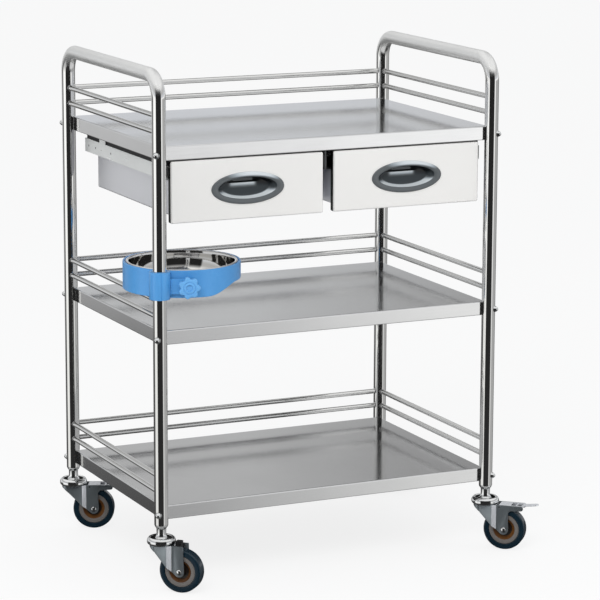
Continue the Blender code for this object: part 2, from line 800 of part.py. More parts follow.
def slide_span():
    """Front and back Y of the fixed slide members."""
    front = drawer_box_front() + FIT_GAP
    return front, front + SLIDE_LENGTH


def slide_levels():
    """Lower and upper edge of the slides."""
    high = skirt_bottom() - SLIDE_DROP
    return high - SLIDE_HEIGHT, high


def slide_tab(x_face, outward, middle):
    """A tab that rises from a slide to the underside of the top shelf."""
    _, high = slide_levels()
    ceiling = SHELF_TOPS["top"] - SHELF_SHEET - FIT_GAP
    half = SLIDE_TAB_LENGTH / 2.0
    sheet = SLIDE_TAB_SHEET
    far = x_face - outward * sheet
    foot = x_face - outward * SLIDE_TAB_FOOT
    outline = [(x_face, high - 6.0 * MM), (x_face, ceiling), (foot, ceiling), (foot, ceiling - sheet),
               (far, ceiling - sheet), (far, high - 6.0 * MM)]
    return cutter(f"tab_{round(middle / MM)}", length_prism(outline, middle - half, middle + half, "tab"))


def build_slide(side, place, mats):
    """A fixed channel and the runner inside it, on one side of a drawer."""
    hanger, inner_box, outer_box = slide_faces()
    sign = SIDES[side]
    if place == "inner":
        x_back = sign * (hanger + FIT_GAP)
        x_box = sign * inner_box
    else:
        x_back = sign * (outer_box + FIT_GAP + SLIDE_THICKNESS)
        x_box = sign * outer_box
    toward = math.copysign(1.0, x_box - x_back)
    low, high = slide_levels()
    front, back = slide_span()
    x_open = x_back + toward * (SLIDE_THICKNESS - 2.0 * FIT_GAP)
    name = f"slide_channel_{side}_{place}"
    section = channel_section(x_back, x_open, low, high, SLIDE_SHEET)
    channel = link_object(name, length_prism(section, front, back, name), mats["slide_steel"])
    if place == "outer":
        for share in SLIDE_TAB_PLACES:
            boolean(channel, slide_tab(x_back, -toward, front + share * SLIDE_LENGTH), "UNION")
    for share in SLIDE_HOLE_PLACES:
        y = front + share * SLIDE_LENGTH
        z = (low + high) / 2.0
        start = (x_back - toward * SLIDE_SHEET, y, z)
        finish = (x_back + toward * 2.0 * SLIDE_SHEET, y, z)
        boolean(channel, cutter(f"slide_hole_{round(y / MM)}", rod(start, finish, SLIDE_HOLE_RADIUS, 6, "hole")))
    settle(channel)
    clear_cutters()
    build_runner(side, place, x_back, x_box, toward, mats)
    return channel


def build_runner(side, place, x_back, x_box, toward, mats):
    """The moving member, which is fastened to the drawer's side."""
    low, high = slide_levels()
    front, _ = slide_span()
    step = SLIDE_SHEET + SLIDE_RUNNING_GAP
    x_wall = x_box - toward * FIT_GAP
    x_open = x_back + toward * step
    section = channel_section(x_wall, x_open, low + step, high - step, SLIDE_SHEET)
    name = f"slide_runner_{side}_{place}"
    start = front + 2.0 * MM
    mesh = length_prism(section, start, start + SLIDE_RUNNER_LENGTH, name)
    return link_object(name, mesh, mats["slide_steel"])


def build_hanger(mats):
    """The folded hanger between the drawers, which carries both inner slides."""
    low, _ = slide_levels()
    front, back = slide_span()
    ceiling = SHELF_TOPS["top"] - SHELF_SHEET - FIT_GAP
    leaf = HANGER_SHEET
    foot = 14.0 * MM
    section = [(-foot, ceiling - leaf), (-leaf, ceiling - leaf), (-leaf, low), (leaf, low),
               (leaf, ceiling - leaf), (foot, ceiling - leaf), (foot, ceiling), (-foot, ceiling)]
    return link_object("slide_hanger", length_prism(section, front, back, "slide_hanger"),
                       mats["slide_steel"])


# Casters: modelled about the kingpin, with the wheel behind along +X

def fork_half_gap():
    """Half the space between the cheeks."""
    return TYRE_WIDTH / 2.0 + FORK_SIDE_GAP


def fork_side_outline(horns):
    """The side view of the fork's cheeks, with brake arms when horns is set."""
    top = CROWN_BOTTOM + FORK_SHEET
    nose = -FORK_NOSE_SETBACK - fork_half_gap() - FORK_SHEET
    axle = (CASTER_TRAIL, WHEEL_RADIUS)
    heel = CASTER_TRAIL + FORK_CHEEK_END
    points = [(nose, top), (nose, CROWN_BOTTOM - 2.0 * FORK_SHEET)]
    points += arc(axle, FORK_CHEEK_END, 222.0, 360.0, 6)
    if horns:
        tip = CASTER_TRAIL + HORN_REACH
        lower = top - HORN_HEIGHT
        points += arc((heel + 7.0 * MM, lower - 9.0 * MM), 8.0 * MM, 180.0, 95.0, 3)
        points += arc((tip - HORN_HEIGHT / 2.0, top - HORN_HEIGHT / 2.0), HORN_HEIGHT / 2.0, 270.0, 450.0, 5)
    else:
        points.append((heel - 1.0 * MM, top))
    return points


def fork_cheeks(horns):
    """Both cheeks and the closed nose, bent from one strip."""
    middle = fork_half_gap() + FORK_SHEET / 2.0
    reach = CASTER_TRAIL + HORN_REACH + FORK_CHEEK_END
    plan = [(reach, middle)] + arc((-FORK_NOSE_SETBACK, 0.0), middle, 90.0, 270.0, 8) + [(reach, -middle)]
    low = WHEEL_RADIUS - 2.0 * FORK_CHEEK_END
    high = CROWN_BOTTOM + FORK_SHEET
    loops = [[(x, y, z) for x, y in plan] for z in (low, high)]
    strip = cutter("cheek_strip", mesh_from(loft(loops, close_rings=False), "cheek_strip"))
    solidify(strip, FORK_SHEET, offset=0.0)
    side = cutter("cheek_side", side_prism(fork_side_outline(horns), 2.0 * middle, "cheek_side"))
    boolean(strip, side, "INTERSECT")
    return strip


def crown_profile():
    """The pressed bearing housing on top of the fork."""
    r = CROWN_RADIUS
    well = CROWN_WELL_RADIUS
    top, low = CROWN_TOP, CROWN_BOTTOM
    round_height = top - low
    return [(0.0, CROWN_WELL_FLOOR), (well, CROWN_WELL_FLOOR), (well + 3.0 * MM, top),
            (r - 4.0 * MM, top - 0.6 * MM), (r, low + 0.5 * round_height), (r - 4.0 * MM, low), (0.0, low)]


def rivet_profile(half):
    """An axle rivet across the fork, with a domed head at each end."""
    r, head, dome = AXLE_RADIUS, RIVET_RADIUS, RIVET_HEIGHT
    return [(0.0, half + dome), (0.55 * head, half + 0.85 * dome), (head, half + 0.3 * dome), (head, half),
            (r, half), (r, -half), (head, -half), (head, -half - 0.3 * dome),
            (0.55 * head, -half - 0.85 * dome), (0.0, -half - dome)]


def across(mesh, x, z):
    """Lays a shape turned about Z across the fork, at x and z."""
    place = Matrix.Translation((x, 0.0, z)) @ Matrix.Rotation(math.radians(90.0), 4, "X")
    return turn_mesh(mesh, place)


def fork_mesh(horns, mats):
    """The whole fork: cheeks, bearing housing and axle, riveted into one."""
    name = "fork_braked" if horns else "fork_plain"
    fork = link_object(name, turned_mesh(crown_profile(), CROWN_STEPS, name), mats["zinc_plate"])
    boolean(fork, fork_cheeks(horns), "UNION")
    half = fork_half_gap() + FORK_SHEET
    axle = turned_mesh(rivet_profile(half), 12, "axle")
    boolean(fork, cutter("axle", across(axle, CASTER_TRAIL, WHEEL_RADIUS)), "UNION")
    if horns:
        x, z = pedal_pivot()
        pin = rod((x, -half, z), (x, half, z), PEDAL_PIN_RADIUS, 10, "pin")
        boolean(fork, cutter("pin", pin), "UNION")
    settle(fork)
    clear_cutters()
    mesh = fork.data
    bpy.data.objects.remove(fork, do_unlink=True)
    return mesh


def hub_profile():
    """Section of the wheel core, bored for the axle."""
    half = HUB_WIDTH / 2.0
    rim = TYRE_INNER_RADIUS - FIT_GAP
    bore = AXLE_RADIUS + FIT_GAP
    dish = half - HUB_DISH_DEPTH
    boss = fork_half_gap() - FIT_GAP
    return [(bore, boss), (HUB_BOSS_RADIUS, boss), (HUB_BOSS_RADIUS, dish), (HUB_DISH_RADIUS, half),
            (rim, half), (rim, -half), (HUB_DISH_RADIUS, -half), (HUB_BOSS_RADIUS, -dish),
            (HUB_BOSS_RADIUS, -boss), (bore, -boss)]


def tyre_profile():
    """Section of the tyre, with rounded shoulders."""
    half = TYRE_WIDTH / 2.0
    inner, outer = TYRE_INNER_RADIUS, WHEEL_RADIUS
    wall = outer - inner
    return [(inner, half - 0.5 * MM), (outer - 0.3 * wall, half), (outer, half - 3.5 * MM),
            (outer, -half + 3.5 * MM), (outer - 0.3 * wall, -half), (inner, -half + 0.5 * MM)]


def stem_profile():
    """The plug inside the post, its collar, the stem and the nut below it."""
    bore = TUBE_RADIUS - TUBE_WALL - FIT_GAP
    seat = TUBE_FOOT_HEIGHT - FIT_GAP
    neck = seat - PLUG_COLLAR_HEIGHT
    floor = CROWN_WELL_FLOOR + FIT_GAP
    nut_top = floor + STEM_DISC_HEIGHT + STEM_NUT_HEIGHT
    return [(0.0, TUBE_FOOT_HEIGHT + PLUG_LENGTH), (bore - 1.0 * MM, TUBE_FOOT_HEIGHT + PLUG_LENGTH),
            (bore, TUBE_FOOT_HEIGHT + PLUG_LENGTH - 1.0 * MM), (bore, seat), (TUBE_RADIUS, seat),
            (TUBE_RADIUS, seat - 1.0 * MM), (PLUG_NECK_RADIUS, neck), (STEM_RADIUS, neck),
            (STEM_RADIUS, nut_top), (STEM_NUT_RADIUS, nut_top - 3.0 * MM),
            (STEM_NUT_RADIUS, floor + STEM_DISC_HEIGHT), (STEM_DISC_RADIUS, floor + STEM_DISC_HEIGHT),
            (STEM_DISC_RADIUS, floor), (0.0, floor)]


def pedal_pivot():
    """X and Z of the pedal's pin, in the caster's own frame."""
    return PEDAL_PIN_BEHIND_KINGPIN, CROWN_BOTTOM + FORK_SHEET - PEDAL_BARREL_RADIUS


def pedal_mesh(has_tab, mats):
    """A stamped pedal on its barrel, with a brake shoe above the tyre."""
    x_pin, z_pin = pedal_pivot()
    half = fork_half_gap() - FIT_GAP
    top = z_pin + PEDAL_BARREL_RADIUS
    under = top - PEDAL_SHEET
    tip = CASTER_TRAIL + HORN_REACH
    name = "pedal_long" if has_tab else "pedal_short"
    barrel = rod((x_pin, -half, z_pin), (x_pin, half, z_pin), PEDAL_BARREL_RADIUS, 12, name)
    pedal = link_object(name, barrel, mats["zinc_plate"])
    plate = block((x_pin, -half, under), (tip, half, top), "pedal_plate")
    boolean(pedal, cutter("pedal_plate", plate), "UNION")
    for sign in (-1.0, 1.0):
        inner, outer = sorted((sign * (half - PEDAL_SHEET), sign * half))
        rim = block((x_pin, inner, under - PEDAL_RIM), (tip - 2.0 * MM, outer, under + PEDAL_SHEET / 2.0), "rim")
        boolean(pedal, cutter(f"rim_{inner:.4f}", rim), "UNION")
    boolean(pedal, pedal_shoe(under), "UNION")
    if has_tab:
        boolean(pedal, pedal_tab(tip, under, top), "UNION")
    hole = rod((x_pin, -2.0 * half, z_pin), (x_pin, 2.0 * half, z_pin),
               PEDAL_PIN_RADIUS + PEDAL_PIN_CLEARANCE, 10, "pin_hole")
    boolean(pedal, cutter("pin_hole", hole))
    for index in range(2):
        boolean(pedal, pedal_window(index, tip, half, top))
    settle(pedal)
    clear_cutters()
    mesh = pedal.data
    bpy.data.objects.remove(pedal, do_unlink=True)
    return mesh


def pedal_shoe(under):
    """The block that the pedal presses on the tyre."""
    x0 = CASTER_TRAIL + PEDAL_SHEET
    x1 = x0 + PEDAL_SHOE_LENGTH
    wide = TYRE_WIDTH / 2.0 - 3.0 * MM
    low = 2.0 * WHEEL_RADIUS + PEDAL_SHOE_CLEARANCE
    return cutter("shoe", block((x0, -wide, low), (x1, wide, under + PEDAL_SHEET / 2.0), "shoe"))


def pedal_tab(tip, under, top):
    """The rounded foot tab at the end of the pedal, which rises a little."""
    half = PEDAL_TAB_WIDTH / 2.0
    straight = PEDAL_TAB_LENGTH - half
    bite = 2.0 * MM
    plan = [(tip - bite, half), (tip - bite, -half)]
    plan += arc((tip + straight, 0.0), half, -90.0, 90.0, 6)
    mesh = prism(plan, under, top, "tab")
    for vert in mesh.vertices:
        vert.co.z += PEDAL_TAB_RISE * ease((vert.co.x - tip) / PEDAL_TAB_LENGTH)
    return cutter("foot_tab", mesh)


def pedal_window(index, tip, half, top):
    """A window stamped through the pedal's plate."""
    start = CASTER_TRAIL + PEDAL_SHEET + PEDAL_SHOE_LENGTH + 2.0 * MM
    length = (tip - 2.0 * MM - start) / 2.0 - 2.0 * MM
    x0 = start + index * (length + 2.5 * MM)
    wide = half - 2.0 * PEDAL_SHEET
    low = top - 2.0 * PEDAL_SHEET
    return cutter(f"window_{index}", block((x0, -wide, low), (x0 + length, wide, top + PEDAL_SHEET), "window"))


def caster_copy(name, mesh, place, angle, mats_name, mats, offset=(0.0, 0.0, 0.0)):
    """Places a shared caster piece under a post, turned by the swivel angle."""
    obj = bpy.data.objects.new(name, mesh)
    collection(MODEL_COLLECTION).objects.link(obj)
    if not mesh.materials:
        mesh.materials.append(mats[mats_name])
    turn = Matrix.Rotation(math.radians(angle), 4, "Z")
    shift = turn @ Vector(offset)
    obj.location = (place[0] + shift.x, place[1] + shift.y, shift.z)
    obj.rotation_euler = (0.0, 0.0, math.radians(angle))
    return obj


def wheel_turn(mesh):
    """Turns a shape that was turned about Z so that its axis lies across."""
    return turn_mesh(mesh, Matrix.Rotation(math.radians(90.0), 4, "X"))


def moved(mesh, offset):
    """A copy of a mesh with its own origin at offset."""
    copy = mesh.copy()
    copy.transform(Matrix.Translation(-Vector(offset)))
    return copy


def build_casters(mats):
    """Four swivel casters, each with its stem, fork, wheel and any pedal."""
    stem = turned_mesh(stem_profile(), STEM_STEPS, "stem")
    hub = wheel_turn(turned_mesh(hub_profile(), HUB_STEPS, "hub", closed=True))
    tyre = wheel_turn(turned_mesh(tyre_profile(), WHEEL_STEPS, "tyre", closed=True))
    forks = {horns: fork_mesh(horns, mats) for horns in (True, False)}
    axle = (CASTER_TRAIL, 0.0, WHEEL_RADIUS)
    for mesh, mat in ((stem, "zinc_plate"), (hub, "hub_plastic"), (tyre, "tyre_rubber")):
        mesh.materials.append(mats[mat])
        mesh.shade_smooth()
        mesh.set_sharp_from_angle(angle=math.radians(35.0))
    for end in ENDS:
        for side in SIDES:
            key = f"{end}_{side}"
            place = post_place(side, end)
            angle = CASTER_ANGLES[key]
            caster_copy(f"stem_{key}", stem, place, 0.0, "zinc_plate", mats)
            caster_copy(f"fork_{key}", forks[key in BRAKED_CASTERS], place, angle, "zinc_plate", mats)
            caster_copy(f"hub_{key}", hub, place, angle, "hub_plastic", mats, axle)
            caster_copy(f"tyre_{key}", tyre, place, angle, "tyre_rubber", mats, axle)
            if key in BRAKED_CASTERS:
                x_pin, z_pin = pedal_pivot()
                pivot = (x_pin, 0.0, z_pin)
                mesh = moved(pedal_mesh(BRAKED_CASTERS[key], mats), pivot)
                caster_copy(f"pedal_{key}", mesh, place, angle, "zinc_plate", mats, pivot)
    build_rubber_block(mats)


def build_rubber_block(mats):
    """The rubber block on the front left fork, its foot held by both cheeks."""
    foot = fork_half_gap() - FIT_GAP
    half = BLOCK_WIDTH / 2.0
    low = 2.0 * WHEEL_RADIUS + BLOCK_ABOVE_TYRE
    step = CROWN_BOTTOM + FORK_SHEET - FIT_GAP
    section = [(-foot, low), (foot, low), (foot, step), (half, step), (half, BLOCK_TOP),
               (-half, BLOCK_TOP), (-half, step), (-foot, step)]
    start = CROWN_RADIUS + BLOCK_FROM_CROWN
    loops = [[(x, y, z) for y, z in section] for x in (start, start + BLOCK_LENGTH)]
    mesh = mesh_from(loft(loops, cap_first=True, cap_last=True), "rubber_block")
    return caster_copy("rubber_block_front_left", mesh, post_place("left", "front"),
                       CASTER_ANGLES["front_left"], "black_rubber", mats)


# Bowl holder: modelled about the post, with the ring's centre along +X

def holder_bottom():
    """Height of the band's lower edge beside the post."""
    return SHELF_TOPS["middle"] + HOLDER_RISE


def ring_centre():
    """Distance from the post's axis to the ring's centre."""
    return TUBE_RADIUS + RING_POST_SPACE + RING_OUTER_RADIUS


def band_bottom(angle):
    """Height of the band's lower edge at an angle about the ring's centre."""
    off = abs((angle - 180.0 - HOLDER_DEEP_MIDDLE + 180.0) % 360.0 - 180.0)
    share = ease((off - HOLDER_DEEP_HALF) / HOLDER_EASE)
    return holder_bottom() + share * (HOLDER_HEIGHT - HOLDER_LOW_HEIGHT)


def ring_loop(radius, height):
    """Points round the ring; height is a value or a function of the angle."""
    cx = ring_centre()
    points = []
    for i in range(RING_STEPS):
        angle = 360.0 * i / RING_STEPS
        z = height(angle) if callable(height) else height
        turn = math.radians(angle)
        points.append((cx + radius * math.cos(turn), radius * math.sin(turn), z))
    return points


def ring_mesh():
    """The band with its inner ledge, as one closed ring."""
    outer = RING_OUTER_RADIUS
    inner = outer - RING_WALL
    ledge = inner - LEDGE_WIDTH
    top = holder_bottom() + HOLDER_HEIGHT
    shelf = top - LEDGE_DROP
    under = shelf - LEDGE_SHEET
    loops = [ring_loop(outer, top), ring_loop(inner, top), ring_loop(inner, shelf), ring_loop(ledge, shelf),
             ring_loop(ledge, under), ring_loop(inner, under - LEDGE_WIDTH), ring_loop(inner, band_bottom),
             ring_loop(outer, band_bottom)]
    return mesh_from(loft(loops, close_path=True), "bowl_holder")


def ring_sector(r0, r1, start, end, low, high, name):
    """A block between two radii and two angles about the ring's centre."""
    cx = ring_centre()
    outline = arc((cx, 0.0), r0, start, end, 6) + arc((cx, 0.0), r1, end, start, 6)
    return prism(outline, low, high, name)


def knob_axis():
    """The clamp screw's point on the ring and its outward direction."""
    turn = math.radians(KNOB_ANGLE)
    outward = Vector((math.cos(turn), math.sin(turn), 0.0))
    base = Vector((ring_centre(), 0.0, holder_bottom() + KNOB_RISE)) + outward * RING_OUTER_RADIUS
    return base, outward


def build_holder(mats):
    """Ring, clamp round the post and the flange that the knob draws in."""
    low, high = holder_bottom(), holder_bottom() + HOLDER_HEIGHT
    holder = link_object("bowl_holder", ring_mesh(), mats["holder_plastic"])
    boss_radius = TUBE_RADIUS + CLAMP_WALL
    boss = cutter("clamp_boss", rod((0, 0, low), (0, 0, high), boss_radius, 28, "boss"))
    inside = RING_OUTER_RADIUS - RING_WALL / 2.0
    room = cutter("ring_room", rod((ring_centre(), 0, low - boss_radius), (ring_centre(), 0, high + boss_radius),
                                   inside, RING_STEPS, "room"))
    boolean(boss, room)
    boolean(holder, boss, "UNION")
    middle = low + KNOB_RISE
    slot_inner = RING_OUTER_RADIUS
    slot_outer = slot_inner + FLANGE_GAP
    slot = ring_sector(slot_inner, slot_outer, FLANGE_FROM - 1.0, FLANGE_TO + 4.0, low - FLANGE_GAP,
                       high + FLANGE_GAP, "slot")
    boolean(holder, cutter("slot", slot))
    flange = ring_sector(slot_outer, slot_outer + FLANGE_SHEET, FLANGE_FROM - 1.0, FLANGE_TO,
                         middle - FLANGE_HEIGHT / 2.0, middle + FLANGE_HEIGHT / 2.0, "flange")
    boolean(holder, cutter("flange", flange), "UNION")
    bore = rod((0, 0, low - boss_radius), (0, 0, high + boss_radius), TUBE_RADIUS + FIT_GAP, 28, "bore")
    boolean(holder, cutter("post_bore", bore))
    base, outward = knob_axis()
    hole = rod(base - outward * 3.0 * RING_WALL, base + outward * 4.0 * FLANGE_SHEET,
               KNOB_SCREW_RADIUS + FIT_GAP, 10, "screw_hole")
    boolean(holder, cutter("screw_hole", hole))
    settle(holder)
    clear_cutters()
    return holder


def knob_outline():
    """The star's outline: lobes with hollows between them."""
    points = []
    count = KNOB_LOBES * 4
    for i in range(count):
        turn = 2.0 * math.pi * i / count
        wave = 0.5 + 0.5 * math.cos(KNOB_LOBES * turn)
        radius = KNOB_WAIST + (KNOB_RADIUS - KNOB_WAIST) * wave
        points.append((radius * math.cos(turn), radius * math.sin(turn)))
    return points


def build_knob(mats):
    """The star knob moulded on its clamp screw, about the screw's axis."""
    seat = FLANGE_GAP + FLANGE_SHEET + FIT_GAP
    collar = seat + KNOB_COLLAR_LENGTH
    front = collar + KNOB_THICKNESS
    loops = []
    for share, z in ((0.92, collar), (1.0, collar + 2.0 * MM), (1.0, front - 2.0 * MM), (0.9, front)):
        loops.append([(share * x, share * y, z) for x, y in knob_outline()])
    knob = link_object("clamp_knob", mesh_from(loft(loops, cap_first=True, cap_last=True), "clamp_knob"),
                       mats["holder_plastic"])
    boolean(knob, cutter("collar", rod((0, 0, seat), (0, 0, collar + MM), KNOB_COLLAR_RADIUS, 16, "collar")),
            "UNION")
    tip = -RING_WALL - 1.0 * MM
    boolean(knob, cutter("screw", rod((0, 0, tip), (0, 0, seat + MM), KNOB_SCREW_RADIUS, 10, "screw")), "UNION")
    dimple = rod((0, 0, front - KNOB_DIMPLE_DEPTH), (0, 0, front + MM), KNOB_DIMPLE_RADIUS, 16, "dimple")
    boolean(knob, cutter("dimple", dimple))
    settle(knob)
    clear_cutters()
    base, outward = knob_axis()
    upright = Vector((0.0, 0.0, 1.0))
    across_axis = upright.cross(outward)
    turn = Matrix((across_axis, upright, outward)).transposed().to_4x4()
    knob.data.transform(turn)
    return knob, base


def bowl_profile():
    """The bowl's outer surface, from the rim down to the middle of its base."""
    top = holder_bottom() + HOLDER_HEIGHT - LEDGE_DROP + FIT_GAP + BOWL_RIM_HEIGHT
    low = top - BOWL_DEPTH
    wall = top - BOWL_RIM_HEIGHT
    steps = BOWL_ARC_STEPS
    points = [(BOWL_RIM_RADIUS, wall), (BOWL_RIM_RADIUS, top), (BOWL_MOUTH_RADIUS, top),
              (BOWL_MOUTH_RADIUS, wall)]
    for i in range(1, steps + 1):
        turn = math.radians(90.0 * i / steps)
        r = BOWL_BASE_RADIUS + (BOWL_MOUTH_RADIUS - BOWL_BASE_RADIUS) * math.cos(turn) ** 0.8
        z = wall - (wall - low) * math.sin(turn)
        points.append((r, z))
    return points


def build_bowl(mats):
    """A spun steel bowl whose rim rests on the ring's ledge."""
    outer = bowl_profile()
    sheet = BOWL_SHEET
    rim_outer, rim_top, mouth, _ = outer[:4]
    inner = [(mouth[0] - sheet, mouth[1])] + [(r - sheet, z + 0.4 * sheet) for r, z in outer[4:-1]]
    floor = outer[-1]
    inner.append((floor[0] - sheet, floor[1] + sheet))
    inner.append((0.0, floor[1] + sheet))
    section = [(0.0, floor[1])] + list(reversed(outer[4:])) + [outer[3], rim_outer, rim_top] + inner
    mesh = turned_mesh(section, RING_STEPS, "bowl")
    bowl = link_object("bowl", mesh, mats["bowl_steel"])
    bowl.data.transform(Matrix.Translation((ring_centre(), 0.0, 0.0)))
    return bowl


def place_holder_group(mats):
    """Turns the holder, knob and bowl to their place on the front left post."""
    x, y = post_place("left", "front")
    turn = Matrix.Rotation(math.radians(HOLDER_DIRECTION), 4, "Z")
    holder = build_holder(mats)
    knob, base = build_knob(mats)
    bowl = build_bowl(mats)
    for obj in (holder, bowl):
        obj.location = (x, y, 0.0)
        obj.rotation_euler = (0.0, 0.0, math.radians(HOLDER_DIRECTION))
    spot = turn @ base
    knob.location = (x + spot.x, y + spot.y, spot.z)
    knob.rotation_euler = (0.0, 0.0, math.radians(HOLDER_DIRECTION))


def stand_on_origin():
    """Moves the trolley so that its box stands centred on the origin."""
    depsgraph = bpy.context.evaluated_depsgraph_get()
    low = Vector((math.inf,) * 3)
    high = Vector((-math.inf,) * 3)
    pieces = list(collection(MODEL_COLLECTION).objects)
    for obj in pieces:
        mesh = bpy.data.meshes.new_from_object(obj.evaluated_get(depsgraph), depsgraph=depsgraph)
        for vert in mesh.vertices:
            point = obj.matrix_world @ vert.co
            low = Vector(map(min, low, point))
            high = Vector(map(max, high, point))
        bpy.data.meshes.remove(mesh)
    shift = Vector((-(low.x + high.x) / 2.0, -(low.y + high.y) / 2.0, -low.z))
    for obj in pieces:
        obj.location += shift
    return shift


def main():
    """Builds every piece of the trolley."""
    clear_scene()
    mats = make_materials()
    for side in SIDES:
        build_side_frame(side, mats)
    build_rails(mats)
    for name, top in SHELF_TOPS.items():
        build_shelf(name, top, mats)
    for side in SIDES:
        build_drawer_front(side, mats)
        build_pull(side, mats)
        build_drawer_box(side, mats)
        for place in ("inner", "outer"):
            build_slide(side, place, mats)
    build_hanger(mats)
    build_casters(mats)
    place_holder_group(mats)
    bpy.context.view_layer.update()
    stand_on_origin()


main()
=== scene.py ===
"""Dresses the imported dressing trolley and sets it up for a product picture.

Every sub-assembly is a class that builds its meshes from a few sizes, gives
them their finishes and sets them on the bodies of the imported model. Lengths
are in metres, with +X to the right, the front at -Y and +Z up.
"""

import logging
import math
from dataclasses import dataclass
from enum import Enum
from functools import cache
from typing import Callable, Iterable, Optional, Sequence

import bmesh
import bpy
from mathutils import Matrix, Vector

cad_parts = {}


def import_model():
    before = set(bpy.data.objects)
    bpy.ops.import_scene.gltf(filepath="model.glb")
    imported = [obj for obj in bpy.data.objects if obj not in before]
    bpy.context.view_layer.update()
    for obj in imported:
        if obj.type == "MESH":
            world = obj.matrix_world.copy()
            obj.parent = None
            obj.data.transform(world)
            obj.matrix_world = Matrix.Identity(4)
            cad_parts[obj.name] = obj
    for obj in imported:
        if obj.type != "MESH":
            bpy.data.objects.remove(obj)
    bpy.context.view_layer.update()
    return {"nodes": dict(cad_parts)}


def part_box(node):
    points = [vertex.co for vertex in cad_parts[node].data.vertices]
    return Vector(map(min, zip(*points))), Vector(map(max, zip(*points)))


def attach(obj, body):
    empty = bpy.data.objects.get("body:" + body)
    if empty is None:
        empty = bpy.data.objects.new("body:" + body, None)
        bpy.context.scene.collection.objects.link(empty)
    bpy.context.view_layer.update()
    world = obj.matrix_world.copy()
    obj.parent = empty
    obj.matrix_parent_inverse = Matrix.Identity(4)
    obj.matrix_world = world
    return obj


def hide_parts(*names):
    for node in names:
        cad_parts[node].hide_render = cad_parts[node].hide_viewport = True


LOG = logging.getLogger("trolley")

MM = 0.001
SHARP_ANGLE = math.radians(40.0)  # edges above it stay sharp
FLAT_ANGLE = math.radians(12.0)   # the same, on bent sheet
FIT_GAP = 0.3 * MM                # between pieces that touch
# Attribute with the pull's painted light and shade: painted shade in its scoop, painted highlights on its
# lips.
PAINTED_LIGHT_ATTRIBUTE = "painted_light"                     # attribute with the lightness of a pull
WHITE = (1.0, 1.0, 1.0, 1.0)

Socket = bpy.types.NodeSocket
Point = Sequence[float]
Colour = tuple[float, float, float]
Flat = list[tuple[float, float]]
Loop = list[tuple[float, float, float]]


class Named(Enum):
    """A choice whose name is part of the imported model's nodes."""

    @property
    def label(self) -> str:
        """Its name in small letters."""
        return self.name.lower()


class Side(Named):
    """The trolley's left and right, with their sign along X."""

    LEFT = -1
    RIGHT = 1


class End(Named):
    """The trolley's front and back, with their sign along Y."""

    FRONT = -1
    BACK = 1


class Shelf(Enum):
    """The three shelves."""

    BOTTOM = "bottom"
    MIDDLE = "middle"
    TOP = "top"


class Pedal(Enum):
    """The kinds of brake pedal."""

    NONE = "none"
    SHORT = "short"
    WITH_TAB = "with_tab"


# Places and sizes that several sub-assemblies share


@dataclass(frozen=True)
class Plan:
    """Where the main parts of the trolley stand, in metres.

    Args:
        centre_x: X midway between the left and right posts.
        centre_y: Y midway between the front and back posts.
        half_width: Distance from the centre to a post's axis along X.
        half_depth: Distance from the centre to a post's axis along Y.
        tube_radius: Outer radius of the posts.
        rail_radius: Radius of the guard rails.
    """

    centre_x: float
    centre_y: float
    half_width: float = 329.25 * MM
    half_depth: float = 222.5 * MM
    tube_radius: float = 12.5 * MM
    rail_radius: float = 4.75 * MM

    @classmethod
    def read(cls) -> "Plan":
        """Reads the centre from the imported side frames.

        Returns:
            The plan of this trolley.
        """
        left_low, left_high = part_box("left_frame")
        right_low, right_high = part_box("right_frame")
        return cls((left_low.x + right_high.x) / 2.0, (left_low.y + right_high.y) / 2.0)

    def post(self, side: Side, end: End) -> Vector:
        """Foot of a post's axis on the floor."""
        return Vector((self.centre_x + side.value * self.half_width,
                       self.centre_y + end.value * self.half_depth, 0.0))

    def centred(self) -> Matrix:
        """Moves a shape made about the middle of the posts to its place."""
        return Matrix.Translation((self.centre_x, self.centre_y, 0.0))


# Mesh helpers


def arc(centre: Point, radius: float, start: float, end: float, steps: int) -> Flat:
    """Points on an arc in a plane.

    Args:
        centre: Middle of the arc.
        radius: Radius of the arc.
        start: First angle in degrees.
        end: Last angle in degrees.
        steps: Number of steps between the two.

    Returns:
        The points, both ends included.
    """
    points = []
    for i in range(steps + 1):
        turn = math.radians(start + (end - start) * i / steps)
        points.append((centre[0] + radius * math.cos(turn), centre[1] + radius * math.sin(turn)))
    return points


def around(count: int) -> list[float]:
    """Angles of evenly spaced points round a circle, in radians."""
    return [2.0 * math.pi * i / count for i in range(count)]


def quarter(steps: int) -> list[float]:
    """Angles from 0 to 90 degrees with both ends, in radians."""
    return [math.radians(90.0 / steps * i) for i in range(steps + 1)]


def fold_steps(radius: float, steps: int = 6) -> Flat:
    """Inset and drop of the steps round a folded edge."""
    return [(radius * (1.0 - math.sin(t)), radius * (1.0 - math.cos(t))) for t in quarter(steps)]


def rectangle(low: Point, high: Point, inset: float, radius: float) -> Flat:
    """A rectangle with round corners, moved in.

    Args:
        low: Its lowest corner.
        high: Its highest corner.
        inset: How far it is moved in.
        radius: Corner radius before the move.

    Returns:
        Its points.
    """
    r = max(radius - inset, 0.3 * MM)
    (x0, z0), (x1, z1) = low, high
    x0, x1, z0, z1 = x0 + inset, x1 - inset, z0 + inset, z1 - inset
    corners = ((x1 - r, z1 - r), (x0 + r, z1 - r), (x0 + r, z0 + r), (x1 - r, z0 + r))
    return [point for i, corner in enumerate(corners)
            for point in arc(corner, r, 90.0 * i, 90.0 * i + 90.0, 6)]


def stacked(outline: Sequence[Point], levels: Sequence[float]) -> list[Loop]:
    """The same outline at several heights."""
    return [[(x, y, z) for x, y in outline] for z in levels]


def ease(value: float) -> float:
    """Smooth step from 0 to 1."""
    value = min(max(value, 0.0), 1.0)
    return value * value * (3.0 - 2.0 * value)


